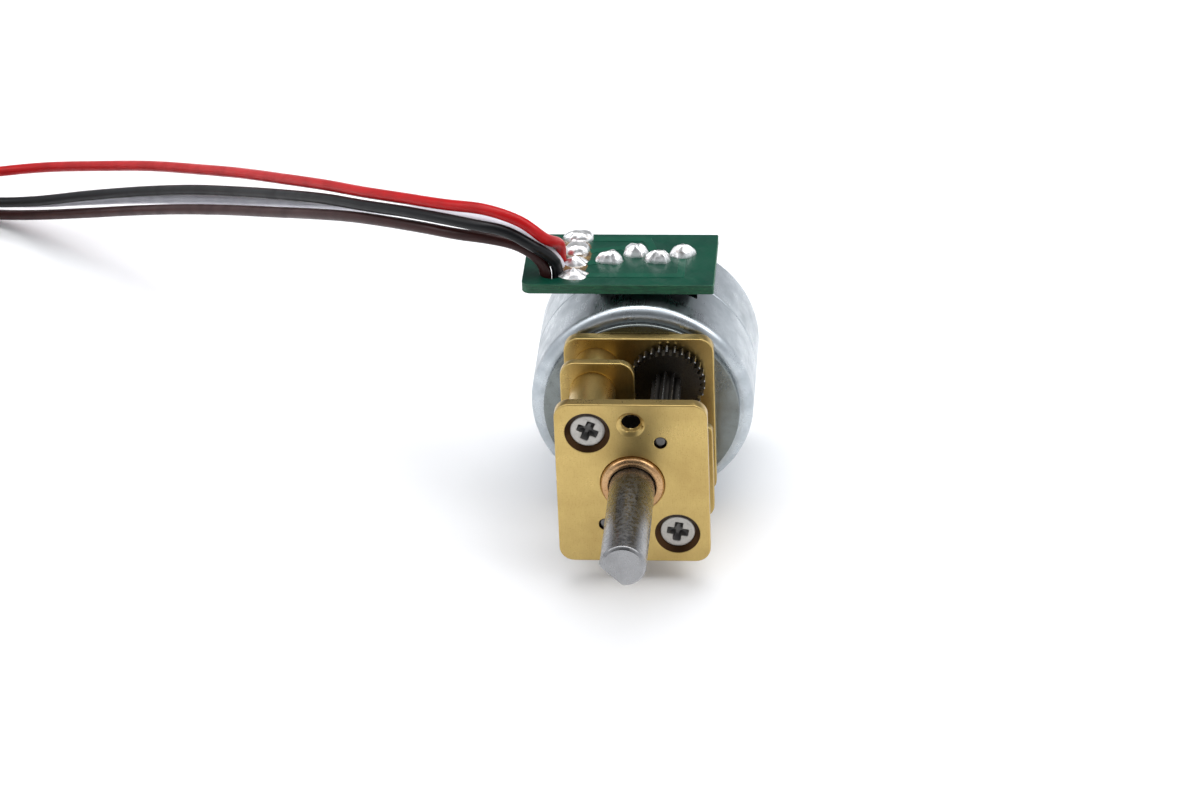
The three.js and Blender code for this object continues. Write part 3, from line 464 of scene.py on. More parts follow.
class Shape:
    """Gathers one piece's rings of points, and the walls and faces between them.

    A point is (x, y, station) in millimetres: in the shaft frame y is the height above the shaft axis.
    """

    def __init__(self):
        self.points = []
        self.faces = []
        self.finishes = []
        self.flats = []
        self.finish = 0

    def loop(self, points):
        first = len(self.points)
        self.points.extend(points)
        return list(range(first, len(self.points)))

    def ring(self, outline, station):
        return self.loop(Vector((x, y, station)) for x, y in outline)

    def add(self, face, flat=False):
        self.faces.append(face)
        self.finishes.append(self.finish)
        self.flats.append(flat)

    def wall(self, *rings):
        for a, b in zip(rings, rings[1:]):
            for i in range(len(a)):
                j = (i + 1) % len(a)
                self.add((a[i], a[j], b[j], b[i]))

    def cap(self, *rings):
        """A flat face in the first ring, with a hole at each of the others."""
        loops = [[Vector((*self.points[i].xy, 0)) for i in ring] for ring in rings]
        order = [i for ring in rings for i in ring]
        for triangle in tessellate_polygon(loops):
            self.add(tuple(order[i] for i in triangle), flat=True)

    def build(self, name, body, slot, replaced=(), finishes=(), place=SHAFT_FRAME):
        """The piece, which rides on a body and stands for CAD nodes. Flat faces end in sharp edges."""
        mesh = bpy.data.meshes.new(name)
        mesh.from_pydata([(place @ point) * MM for point in self.points], [], self.faces)
        mesh.polygons.foreach_set("material_index", self.finishes)
        mesh.polygons.foreach_set("use_smooth", [not flat for flat in self.flats])
        work = bmesh.new()
        work.from_mesh(mesh)
        bmesh.ops.remove_doubles(work, verts=work.verts, dist=0.0005 * MM)
        bmesh.ops.dissolve_degenerate(work, edges=work.edges, dist=0.0005 * MM)
        bmesh.ops.recalc_face_normals(work, faces=work.faces)
        for edge in work.edges:
            sides = edge.link_faces
            bordering = len(sides) == 2 and sides[0].smooth != sides[1].smooth
            edge.smooth = not bordering and edge.calc_face_angle(0) < SHARP
        for face in work.faces:
            face.smooth = True
        work.to_mesh(mesh)
        work.free()
        made = bpy.data.objects.new(name, mesh)
        bpy.context.scene.collection.objects.link(made)
        for finish in finishes or (slot,):
            mesh.materials.append(FINISHES[finish])
        made.modifiers.new("even_shade", "WEIGHTED_NORMAL").keep_sharp = True
        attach(made, body)
        if replaced:
            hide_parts(*replaced)
        return made


def polar(radius, angle, x=0.0, y=0.0):
    return (x + radius * math.cos(angle), y + radius * math.sin(angle))


def circle(radius, x=0.0, y=0.0, segments=48):
    return [polar(radius, 2 * math.pi * i / segments, x, y) for i in range(segments)]


def rounded(corners, steps=8):
    """An outline or profile through (x, y, radius) corners, each with an arc where it has a radius."""
    outline = []
    for i, (x, y, radius) in enumerate(corners):
        corner = Vector((x, y))
        towards = [Vector(corners[j][:2]) - corner for j in (i - 1, (i + 1) % len(corners))]
        start, end = [d.normalized() * radius for d in towards]
        if radius == 0:
            outline.append((x, y))
            continue
        centre = corner + start + end
        for step in range(steps + 1):
            angle = math.pi / 2 * step / steps
            outline.append(tuple(centre - end * math.cos(angle) - start * math.sin(angle)))
    return outline


def inset(outline, distance):
    """The outline moved inwards, or outwards by a negative distance."""
    if distance == 0:
        return outline
    points = [Vector(p) for p in outline]
    area = sum(a.x * b.y - b.x * a.y for a, b in zip(points, points[1:] + points[:1]))
    side = math.copysign(distance, area)
    moved = []
    for before, here, after in zip(points[-1:] + points[:-1], points, points[1:] + points[:1]):
        normals = [Vector((-d.y, d.x)).normalized() for d in (here - before, after - here)]
        middle = (normals[0] + normals[1]).normalized()
        moved.append(tuple(here + middle * side / max(0.3, middle.dot(normals[0]))))
    return moved


def rims(front, back, edge, steps=3):
    """(station, inset) pairs of a wall from front to back, both of whose rims are rounded."""
    turn = [math.pi / 2 * i / steps for i in range(steps + 1)]
    first = [(front - edge * (1 - math.cos(a)), edge * (1 - math.sin(a))) for a in turn]
    last = [(back + edge * (1 - math.cos(a)), edge * (1 - math.sin(a))) for a in reversed(turn)]
    return first + last


def bore(radius, front, back, edge=0.04):
    """(station, radius) pairs of a plain hole with broken rims."""
    return [(station, radius + grown) for station, grown in rims(front, back, edge, 2)]


def sink(radius, rim, front, back):
    """(station, radius) pairs of a hole that opens to a 45 degree countersink at the front."""
    edge = 0.03
    flare = [(front, rim + edge), (front - edge, rim), (front - (rim - radius), radius)]
    return [*flare, (back + edge, radius), (back, radius + edge)]


def plate(name, outline, wall, holes, replaced, slot="brass", finishes=()):
    """A plate with rounded rims. holes are (x, y, (station, radius) pairs, finish of its wall)."""
    shape = Shape()
    sides = [shape.ring(inset(outline, distance), station) for station, distance in wall]
    shape.wall(*sides)
    fronts, backs = [sides[0]], [sides[-1]]
    for x, y, profile, finish in holes:
        shape.finish = finish
        segments = 64 if profile[0][1] > 1 else 32
        rings = [shape.ring(circle(radius, x, y, segments), station) for station, radius in profile]
        shape.wall(*rings)
        fronts.append(rings[0])
        backs.append(rings[-1])
    shape.finish = 0
    shape.cap(*fronts)
    shape.cap(*backs)
    return shape.build(name, "root", slot, replaced, finishes)


def turned(name, profile, replaced, slot="brass", finishes=(), x=0.0, y=0.0, segments=64, steps=4):
    """A body turned from a profile, which closes on itself or runs between two points on the axis."""
    shape = Shape()
    points = rounded(profile, steps)
    off_axis = [(radius, station) for radius, station in points if radius > 0]
    rings = [shape.ring(circle(radius, x, y, segments), station) for radius, station in off_axis]
    shape.wall(*rings)
    if len(rings) == len(points):
        shape.wall(rings[-1], rings[0])
    else:
        shape.cap(rings[0])
        shape.cap(rings[-1])
    return shape.build(name, "root", slot, replaced, finishes)


def sleeve(name, outer, inner, front, back, replaced, edge=0.06, **where):
    profile = [(inner, front, edge / 2), (outer, front, edge), (outer, back, edge), (inner, back, edge / 2)]
    return turned(name, profile, replaced, **where)


# ---- Leads' tubes ----


def tube(name, points, diameter, slot, replaced=()):
    """A round tube along the points, without twist, whose ends have broken edges."""
    shape = Shape()
    side = (points[1] - points[0]).orthogonal().normalized()
    broken = 0.12 * diameter
    line = [(point, diameter / 2) for point in points]
    line[0] = (points[0], diameter / 2 - broken)
    line[-1] = (points[-1], diameter / 2 - broken)
    line.insert(1, (points[0] + (points[1] - points[0]).normalized() * broken, diameter / 2))
    line.insert(-1, (points[-1] - (points[-1] - points[-2]).normalized() * broken, diameter / 2))
    rings = []
    for i, (point, radius) in enumerate(line):
        way = (line[min(i + 1, len(line) - 1)][0] - line[max(i - 1, 0)][0]).normalized()
        side = (side - way * side.dot(way)).normalized()
        across = way.cross(side)
        section = circle(1, segments=16)
        rings.append(shape.loop(point + (side * a + across * b) * radius for a, b in section))
    shape.wall(*rings)
    shape.add(tuple(rings[0]), flat=True)
    shape.add(tuple(rings[-1]), flat=True)
    return shape.build(name, "root", slot, replaced, place=ROW_FRAME)


TIP_TURNS = 0.13  # of the coil, for the stripped and tinned end
TIP_STEPS = 8
STEPS_PER_TURN = 12
LINE_STEPS = 6  # points of a smooth line per point that it goes through


def lead(colour):
    """One lead from the board's slot to its end inside the coil, and its stripped end."""
    height = COIL_LAYERS[colour]
    route = [Vector(point) for point in LEAD_ROUTES[colour]]
    start = Vector((route[0].x, route[0].y, SLOT_FLOOR))
    last = round(COIL["turns"] * STEPS_PER_TURN)
    wound = [coil_point(i / STEPS_PER_TURN, height) for i in range(last + 1)]
    line = smooth_line([start, *route, *wound], LINE_STEPS)
    node = "lead_" + colour
    made = tube(node + "_wire", line, LEAD_DIAMETER, node, [node, "lead_coil"])
    shares = [(i - 1) / TIP_STEPS for i in range(TIP_STEPS + 1)]
    strip = [coil_point(COIL["turns"] + TIP_TURNS * share, height) for share in shares]
    tip = tube(node + "_tip", strip, LEAD_DIAMETER / 2, "solder")
    return made, tip, line


leads = {colour: lead(colour) for colour in LEAD_ROUTES}

# ---- Gearbox ----

PLATE = {"x": 5.0, "y": 6.0, "corner": 1.0, "edge": 0.07}
COLUMN_PLACES = {"upper": (-2.85, 3.85), "lower": (2.85, -3.85)}
COLUMN_BORE = 0.86
ARBOR_ANGLE = 0.5427
MODULE = 0.16
PRESSURE_ANGLE = math.radians(20)
BACKLASH = 0.035
CENTRE_DISTANCE = MODULE * (16 + 30) / 2
ARBOR_A = (CENTRE_DISTANCE * math.sin(ARBOR_ANGLE), CENTRE_DISTANCE * math.cos(ARBOR_ANGLE))
ARBOR_B = (-ARBOR_A[0], -ARBOR_A[1])
ARBOR_BORE = 0.42
SCREW = {"shank": 0.78, "head": 1.15, "sunk": 0.28, "sink": 1.485, "end": -2.6}
TAPPED = {"y": 4.5, "radius": 0.63, "major": 0.76, "pitch": 0.35, "rim": 0.91}
BUSH = {"outer": 2.1, "inner": 1.54, "proud": 0.45, "flange": 2.5, "round": 0.4}
SHAFT = {"radius": 1.5, "flat": 1.0, "flat_length": 8.9, "chamfer": 0.2, "flat_side": math.radians(225)}

front_face, front_back = span("front_plate")
middle_face, middle_back = span("middle_plate")
back_face, back_back = span("back_plate")


def plate_outline():
    """The rounded rectangle of the front and back plates."""
    x, y, corner = PLATE["x"], PLATE["y"], PLATE["corner"]
    return rounded([(-x, -y, corner), (x, -y, corner), (x, y, corner), (-x, y, corner)])


def thread(x, y, front, back):
    """(x, y) outlines of a tapped hole's helical thread, with their stations."""
    segments, steps = 32, 8
    mean = (TAPPED["radius"] + TAPPED["major"]) / 2
    swing = (TAPPED["major"] - TAPPED["radius"]) / 2
    count = round((front - back) / TAPPED["pitch"] * steps)
    for i in range(count + 1):
        station = front - (front - back) * i / count
        outline = []
        for j in range(segments):
            angle = 2 * math.pi * j / segments
            radius = mean + swing * math.sin(2 * math.pi * station / TAPPED["pitch"] + angle)
            outline.append(polar(radius, angle, x, y))
        yield station, outline


def tapped_hole(shape, y, front, back):
    """A countersunk tapped hole through a plate. Returns its front and back rings."""
    edge = 0.03
    rim = TAPPED["rim"]
    foot = front - (rim - TAPPED["major"])
    flare = [(front, rim + edge), (front - edge, rim), (foot, TAPPED["major"])]
    rings = [shape.ring(circle(radius, 0, y, 32), station) for station, radius in flare]
    rings += [shape.ring(outline, station) for station, outline in thread(0, y, foot - 0.02, back + 0.02)]
    rings.append(shape.ring(circle(TAPPED["major"], 0, y, 32), back))
    shape.wall(*rings)
    return rings[0], rings[-1]


def front_plate():
    shape = Shape()
    wall = rims(front_face, front_back, PLATE["edge"])
    sides = [shape.ring(inset(plate_outline(), distance), station) for station, distance in wall]
    shape.wall(*sides)
    fronts, backs = [sides[0]], [sides[-1]]
    for y in (TAPPED["y"], -TAPPED["y"]):
        first, last = tapped_hole(shape, y, front_face, front_back)
        fronts.append(first)
        backs.append(last)
    holes = [(0, 0, bore(BUSH["outer"] + 0.02, front_face, front_back), 0)]
    holes += [(*place, bore(ARBOR_BORE, front_face, front_back, 0.05), 1) for place in (ARBOR_A, ARBOR_B)]
    sunk = sink(COLUMN_BORE, SCREW["sink"], front_face, front_back)
    holes += [(*place, sunk, 1) for place in COLUMN_PLACES.values()]
    for x, y, profile, finish in holes:
        rings = [shape.ring(circle(radius, x, y, 64), station) for station, radius in profile]
        shape.finish = 0
        shape.wall(*rings[:2])
        # past their front rims the column countersinks and arbor holes take the dark brass: painted shade
        # in these hollows, with some oil
        shape.finish = finish
        shape.wall(*rings[1:])
        fronts.append(rings[0])
        backs.append(rings[-1])
    shape.finish = 0
    shape.cap(*fronts)
    shape.cap(*backs)
    shape.build("front_plate_brass", "root", "brass", ["front_plate"], ["brass", "oily_brass_painted_shade"])


def middle_plate():
    """One tab up at the left and one down at the right, joined by a bar."""
    x, y, tab, bar = PLATE["x"], PLATE["y"], 0.1, 1.2
    half = [(-x, -bar, 0.5), (tab, -bar, 0.4), (tab, -y, PLATE["corner"]), (x, -y, PLATE["corner"])]
    outline = rounded([*half, *((-a, -b, radius) for a, b, radius in half)])
    holes = [(0, 0, bore(0.59, middle_face, middle_back), 0)]
    holes += [(*place, bore(COLUMN_BORE, middle_face, middle_back), 0) for place in COLUMN_PLACES.values()]
    wall = rims(middle_face, middle_back, PLATE["edge"])
    plate("middle_plate_brass", outline, wall, holes, ["middle_plate"])


def back_plate():
    holes = [(0, 0, bore(1.79, back_face, back_back), 0)]
    holes += [(*place, bore(1.02, back_face, back_back), 0) for place in COLUMN_PLACES.values()]
    holes += [(*place, bore(ARBOR_BORE, back_face, back_back), 0) for place in (ARBOR_A, ARBOR_B)]
    wall = rims(back_face, back_back, PLATE["edge"])
    plate("back_plate_brass", plate_outline(), wall, holes, ["back_plate"])


def columns():
    for name, (x, y) in COLUMN_PLACES.items():
        node = "column_front_" + name
        front, back = span(node)
        sleeve(node + "_brass", 1.5, COLUMN_BORE, front, back, [node], 0.12, x=x, y=y)
        node = "column_rear_" + name
        front, back = span(node)
        profile = [
            (0, -2.8, 0),
            (COLUMN_BORE, -2.8, 0),
            (COLUMN_BORE, front, 0.05),
            (1.5, front, 0.12),
            (1.5, -2.98, 0.05),
            (1.0, -2.98, 0),
            (1.0, back, 0.08),
            (0, back, 0),
        ]
        turned(node + "_brass", profile, [node], x=x, y=y)


def cross(reach, width, turn, x, y):
    """The outline of a cross recess."""
    corners = []
    for quarter in range(4):
        angle = turn + quarter * math.pi / 2
        along = Vector((math.cos(angle), math.sin(angle)))
        across = Vector((-along.y, along.x))
        for a, b, radius in ((width, -width, 0.05), (reach, -width, 0.08), (reach, width, 0.08)):
            corners.append((*(Vector((x, y)) + along * a + across * b), radius))
    return rounded(corners, 3)


def screw(node, x, y, turn):
    """A countersunk screw with a cross recess whose walls taper in."""
    top = span(node)[0]
    head, shank, end = SCREW["head"], SCREW["shank"], SCREW["end"]
    shape = Shape()
    profile = [
        (top - 0.01, head - 0.07),
        (top - 0.025, head - 0.03),
        (top - 0.06, head),
        (top - 0.12, head),
        (top - 0.08 - (head - shank), shank),
        (end + 0.15, shank),
        (end, shank - 0.15),
    ]
    rings = [shape.ring(circle(radius, x, y), station) for station, radius in profile]
    face = shape.ring(circle(head - 0.16, x, y), top)
    shape.wall(face, *rings)
    shape.cap(rings[-1])
    recess = [(0.0, 0.64, 0.25), (0.03, 0.61, 0.225), (0.34, 0.45, 0.15), (0.42, 0.3, 0.1)]
    crosses = []
    for depth, reach, width in recess:
        outline = cross(reach * head, width * head, turn, x, y)
        crosses.append(shape.ring(outline, top - depth))
    shape.cap(face, crosses[0])
    shape.wall(*crosses[:2])
    # the recess's deeper walls and its floor take the dark steel: painted shade
    shape.finish = 1
    shape.wall(*crosses[1:])
    shape.cap(crosses[-1])
    shape.build(node + "_steel", "root", "screw_steel", [node], ["screw_steel", "screw_recess_painted_shade"])


def screws():
    turns = {"upper": -0.4, "lower": -0.17}
    for name, (x, y) in COLUMN_PLACES.items():
        screw("front_screw_" + name, x, y, turns[name])


def output_bush():
    face = front_face + BUSH["proud"]
    back = span("output_bush")[1]
    profile = [
        (BUSH["inner"], back, 0.05),
        (BUSH["flange"], back, 0.06),
        (BUSH["flange"], front_back - 0.02, 0.03),
        (BUSH["outer"], front_back - 0.02, 0),
        (BUSH["outer"], face, BUSH["round"]),
        (BUSH["inner"], face, 0.1),
    ]
    turned("output_bush_bronze", profile, ["output_bush"], slot="bronze", segments=96, steps=8)


UNCUT = 0.999  # of the radius, the flat's distance from the axis where the shaft is still round


def flat_circle(radius, flat):
    """A circle cut by the shaft's flat, always with the same number of points."""
    half = math.acos(min(1, flat / radius))
    arc, chord = 56, 8
    side = SHAFT["flat_side"]
    outline = []
    for i in range(arc + 1):
        angle = side + half + (2 * math.pi - 2 * half) * i / arc
        outline.append(polar(radius, angle))
    start, end = Vector(outline[-1]), Vector(outline[0])
    outline += [tuple(start.lerp(end, i / chord)) for i in range(1, chord)]
    return outline


def output_shaft():
    """The D shaft, from the spindle inside the gearbox to its chamfered tip."""
    tip, back = span("output_shaft")
    seat = {"front": 4.34, "back": 3.2, "radius": 1.0, "spindle": 0.55}
    radius, flat, chamfer = SHAFT["radius"], SHAFT["flat"], SHAFT["chamfer"]
    flat_start = tip - SHAFT["flat_length"]
    shape = Shape()
    sections = [
        (back, seat["spindle"] - 0.1),
        (back + 0.1, seat["spindle"]),
        (seat["back"], seat["spindle"]),
        (seat["back"], seat["radius"]),
        (seat["front"], seat["radius"]),
        (seat["front"], radius - 0.05),
        (seat["front"] + 0.05, radius),
    ]
    rings = [shape.ring(flat_circle(size, size * UNCUT), station) for station, size in sections]
    runout = [(0.0, 0.0), (0.06, 0.25), (0.2, 0.42), (0.4, 0.5)]
    for forward, sunk in runout:
        rings.append(shape.ring(flat_circle(radius, radius * UNCUT - sunk), flat_start + forward))
    for inwards in (0.0, 0.06, 0.14, 0.2):
        back_off = chamfer * (1 - inwards / chamfer)
        size = radius - inwards + (0.02 if 0 < inwards < chamfer else 0)
        rings.append(shape.ring(flat_circle(size, flat), tip - back_off))
    shape.wall(*rings)
    shape.cap(rings[0])
    shape.cap(rings[-1])
    shape.build("output_shaft_steel", "output", "shaft_steel", ["output_shaft"])


# ---- Gears: a driver's tooth points at the wheel, and the wheel's gap at the driver ----

TOWARDS_A = math.pi / 2 - ARBOR_ANGLE
TOWARDS_B = TOWARDS_A + math.pi
SHIFT = 0.25  # profile shift of a 10-tooth pinion, taken off the wheel it drives
PINION_SEAT = 0.1
GEAR_HOLE = {"arbor": 0.44, "spindle": 0.59, "motor_shaft": 0.62, "output_shaft": 1.02}


def gap_at(direction, teeth):
    return direction + math.pi / teeth


def involute(angle):
    return math.tan(angle) - angle


FLANK_STEPS = 6
TOOTH_POINTS = 2 * (FLANK_STEPS + 1)
DARK_GEAR = ["dark_steel", "tooth_land"]


def gear_outline(teeth, phase, shift, trim=0.0):
    """A spur gear's outline with involute flanks. trim takes its tooth tips down, as a chamfer does."""
    pitch = MODULE * teeth / 2
    base = pitch * math.cos(PRESSURE_ANGLE)
    tip = pitch + MODULE * (0.92 + shift) - trim
    root = pitch - MODULE * (1.3 - shift)
    half_tooth = (math.pi / 2 + 2 * shift * math.tan(PRESSURE_ANGLE)) / teeth - BACKLASH / (2 * pitch)
    flank = []
    for i in range(FLANK_STEPS + 1):
        radius = root + (tip - root) * i / FLANK_STEPS
        pressure = math.acos(min(1, base / radius))
        half = half_tooth + involute(PRESSURE_ANGLE) - involute(pressure)
        flank.append((radius, half))
    outline = []
    for tooth in range(teeth):
        centre = phase + 2 * math.pi * tooth / teeth
        angles = [(radius, centre - half) for radius, half in flank]
        angles += [(radius, centre + half) for radius, half in reversed(flank)]
        outline += [polar(radius, angle) for radius, angle in angles]
    return outline


def add_gear(shape, teeth, front, back, phase, hole, shift=0.0, x=0.0, y=0.0):
    """A toothed disc with chamfered tips, polished tooth lands and a bored hole."""
    chamfer = 0.05
    rings = []
    for station, trim in ((front, chamfer), (front - chamfer, 0), (back + chamfer, 0), (back, chamfer)):
        outline = [(x + a, y + b) for a, b in gear_outline(teeth, phase, shift, trim)]
        rings.append(shape.ring(outline, station))
    for a, b in zip(rings, rings[1:]):
        for i in range(len(a)):
            shape.finish = 1 if i % TOOTH_POINTS == TOOTH_POINTS // 2 - 1 else 0
            j = (i + 1) % len(a)
            shape.add((a[i], a[j], b[j], b[i]))
    shape.finish = 0
    holes = [shape.ring(circle(radius, x, y, 32), station) for station, radius in bore(hole, front, back)]
    shape.wall(*holes)
    shape.cap(rings[0], holes[0])
    shape.cap(rings[-1], holes[-1])


def cluster(node, body, place, hole, split, wheel, pinion):
    """A wheel up to the station "split", and in front a pinion that starts a little inside it.

    wheel and pinion are (teeth, direction of the gear it meshes with, profile shift).
    """
    front, back = span(node)
    shape = Shape()
    teeth, direction, shift = wheel
    add_gear(shape, teeth, split, back, gap_at(direction, teeth), hole, shift, *place)
    teeth, direction, shift = pinion
    add_gear(shape, teeth, front, split - PINION_SEAT, direction, hole, shift, *place)
    shape.build(node + "_steel", body, "dark_steel", [node], DARK_GEAR)


def gears():
    """The wheels and pinions from the motor's shaft to the output."""
    arbor, spindle = GEAR_HOLE["arbor"], GEAR_HOLE["spindle"]
    cluster("gear_a", "gear_a", ARBOR_A, arbor, -2.0, (30, TOWARDS_B, 0), (10, TOWARDS_B, SHIFT))
    cluster("gear_b", "gear_b", ARBOR_B, arbor, 2.8, (30, TOWARDS_A, 0), (10, TOWARDS_A, SHIFT))
    cluster("idler_gear", "idler", (0, 0), spindle, 1.3, (36, TOWARDS_A, -SHIFT), (16, TOWARDS_B, 0))
    output, driver = Shape(), Shape()
    add_gear(output, 36, *span("output_gear"), gap_at(TOWARDS_B, 36), GEAR_HOLE["output_shaft"], -SHIFT)
    output.build("output_gear_steel", "output", "dark_steel", ["output_gear"], DARK_GEAR)
    add_gear(driver, 16, *span("motor_pinion"), TOWARDS_A, GEAR_HOLE["motor_shaft"])
    driver.build("motor_pinion_brass", "rotor", "brass", ["motor_pinion"], ["brass", "brass"])


def arbors():
    for name, (x, y) in (("a", ARBOR_A), ("b", ARBOR_B)):
        node = "arbor_" + name
        front, back = span(node)
        profile = [(0, back, 0), (0.4, back, 0.1), (0.4, front, 0.15), (0, front, 0)]
        looks = {"slot": "shaft_steel", "finishes": ["pin_steel"]}
        turned(node + "_steel", profile, [node], **looks, x=x, y=y, segments=32)
        node = "spacer_" + name
        front, back = span(node)
        sleeve(node + "_brass", 0.6, 0.44, front, back, [node], 0.03, x=x, y=y, segments=32)


front_plate()
middle_plate()
back_plate()
columns()
screws()
output_bush()
output_shaft()
gears()
arbors()

# ---- Motor ----

CAN = {"radius": 7.5, "wall": 0.5, "edge": 0.7, "bore": 3.5}
NOTCH = {"left": -3.1, "right": 3.7, "depth": 1.8}
CLAW = {"base": 1.6, "tip": 1.0, "length": 3.7, "thickness": 0.35, "count": 5}
FLANGE_RADIUS = 6.6


def can_angles():
    """Angles round a can, each with whether the notch is open there. The notch's ends come twice."""
    right = math.acos(NOTCH["right"] / CAN["radius"])
    left = math.acos(NOTCH["left"] / CAN["radius"])
    angles = []
    for start, end, steps, opened in ((right, left, 24, True), (left, right + 2 * math.pi, 112, False)):
        angles += [(start + (end - start) * i / steps, opened) for i in range(steps + 1)]
    return angles


def add_claw(shape, angle, root, forward):
    """A tapered claw pole along the bore, curved as the bore is."""
    inner, outer = CAN["bore"], CAN["bore"] + CLAW["thickness"]
    rings = []
    steps = 6
    for share in (-0.05, 0.0, 0.25, 0.5, 0.75, 0.97, 1.0):
        width = CLAW["base"] + (CLAW["tip"] - CLAW["base"]) * max(0, share)
        width -= 0.12 if share == 1.0 else 0
        half = width / 2 / inner
        sweep = [angle - half + 2 * half * i / steps for i in range(steps + 1)]
        section = [polar(inner, a) for a in sweep] + [polar(outer, a) for a in reversed(sweep)]
        rings.append(shape.ring(section, root + forward * CLAW["length"] * share))
    shape.wall(*rings)
    shape.cap(rings[0])
    shape.cap(rings[-1])


def can_half(side):
    """A drawn cup with its notch and its claw poles. side is 1 in front, -1 behind."""
    node = ("front" if side > 0 else "rear") + "_can"
    front, back = span(node)
    end, rim = (front, back) if side > 0 else (back, front)
    radius, wall, edge = CAN["radius"], CAN["wall"], CAN["edge"]
    notch = rim + side * NOTCH["depth"]
    profile = [
        (radius - wall, rim, 0.08),
        (radius, rim, 0.12),
        (radius, notch, 0),
        (radius, end, edge),
        (CAN["bore"], end, 0.08),
        (CAN["bore"], end - side * wall, 0.08),
        (radius - wall, end - side * wall, 0.25),
        (radius - wall, notch, 0),
    ]
    closed = rounded(profile, 10)
    shape = Shape()
    columns = []
    for angle, opened in can_angles():
        column = []
        for r, station in closed:
            beyond = (notch - station) * side > 0
            column.append(Vector((*polar(r, angle), notch if opened and beyond else station)))
        columns.append(shape.loop(column))
    shape.wall(*columns)
    shape.wall(columns[-1], columns[0])
    turn = side * math.pi / (4 * CLAW["count"])
    for i in range(CLAW["count"]):
        add_claw(shape, turn + 2 * math.pi * i / CLAW["count"], end - side * wall, -side)
    shape.build(node + "_steel", "root", "zinc_steel", [node])


def motor_flange():
    """The disc that holds the gearbox."""
    front, back = span("front_flange")
    outline = circle(FLANGE_RADIUS, segments=128)
    holes = [(0, 0, bore(1.77, front, back), 0)]
    # the flange's faces take the darker disc steel, which paints shade on them
    plate(
        "front_flange_steel",
        outline,
        rims(front, back, 0.1),
        holes,
        ["front_flange"],
        slot="zinc_steel",
        finishes=["disc_steel_painted_shade"],
    )


def rear_cover():
    front, back = span("rear_cover")
    plate_back = front - 0.45
    profile = [
        (0, back + 0.26, 0),
        (1.62, back + 0.26, 0.05),
        (1.62, front, 0.05),
        (FLANGE_RADIUS, front, 0.06),
        (FLANGE_RADIUS, plate_back, 0.16),
        (2.6, plate_back, 0.15),
        (2.6, back, 0.3),
        (0.5, back, 0.05),
        (0.4, back + 0.06, 0.05),
        (0, back + 0.06, 0),
    ]
    turned("rear_cover_steel", profile, ["rear_cover"], slot="zinc_steel", segments=128, steps=6)


def bearing():
    front, back = span("front_bearing")
    shoulder = back + 0.4
    profile = [
        (0.64, back, 0.05),
        (2.4, back, 0.06),
        (2.4, shoulder, 0.06),
        (1.75, shoulder, 0),
        (1.75, front, 0.12),
        (0.64, front, 0.08),
    ]
    turned("front_bearing_bronze", profile, ["front_bearing"], slot="bronze")


can_half(1)
can_half(-1)
motor_flange()
rear_cover()
bearing()

# ---- Terminal board ----

board_low, board_high = (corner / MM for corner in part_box("circuit_board"))
BOARD_BOTTOM, BOARD_TOP = board_low.z, board_high.z
CAN_MIDDLE_Y = 9.3
PIN_STAGGER = 0.45
PIN_PLACES = [
    (-2.1, CAN_MIDDLE_Y - PIN_STAGGER),
    (-0.5, CAN_MIDDLE_Y + PIN_STAGGER),
    (1.1, CAN_MIDDLE_Y - PIN_STAGGER),
    (2.7, CAN_MIDDLE_Y + PIN_STAGGER),
]
PAD_PLACES = {"brown": (-4.6, 6.8), "black": (-4.6, 8.45), "white": (-4.6, 10.1), "red": (-4.6, 11.75)}
SLOT = {"x": -5.95, "y": 7.8, "width": 1.7, "length": 2.9}


def slot_outline(grown=0.0):
    """The rounded slot that the leads come up through."""
    radius = SLOT["width"] / 2 + grown
    half = SLOT["length"] / 2 + grown
    x, y = SLOT["x"], SLOT["y"]
    corners = [(-radius, -half), (radius, -half), (radius, half), (-radius, half)]
    return rounded([(x + across, y + along, radius * 0.999) for across, along in corners], 10)


def board():
    low, high = board_low, board_high
    fronts = [(low.x, low.y, 0.6), (high.x, low.y, 0.12)]
    outline = rounded([*fronts, (high.x, high.y, 0.12), (low.x, high.y, 0.12)])
    shape = Shape()
    skin = 0.03
    levels = [(BOARD_TOP, 0.035), (BOARD_TOP - skin, 0), (BOARD_BOTTOM + skin, 0), (BOARD_BOTTOM, 0.035)]
    sides = [shape.ring(inset(outline, distance), level) for level, distance in levels]
    slots = [shape.ring(slot_outline(distance), level) for level, distance in levels]
    shape.finish = 1
    for rings in (sides, slots):
        shape.wall(*rings)
    tops, bottoms = [sides[0], slots[0]], [sides[-1], slots[-1]]
    drilled = [(place, 0.35) for place in PIN_PLACES] + [(place, 0.3) for place in PAD_PLACES.values()]
    shape.finish = 2
    for (x, y), radius in drilled:
        rings = [shape.ring(circle(radius, x, y, 24), level) for level in (BOARD_TOP, BOARD_BOTTOM)]
        shape.wall(*rings)
        tops.append(rings[0])
        bottoms.append(rings[1])
    shape.finish = 0
    shape.cap(*tops)
    shape.cap(*bottoms)
    finishes = ["board_green", "board_edge", "solder"]
    shape.build("circuit_board_laminate", "root", "board_green", ["circuit_board"], finishes, ROW_FRAME)


TRACE = {"width": 0.55, "height": 0.035}


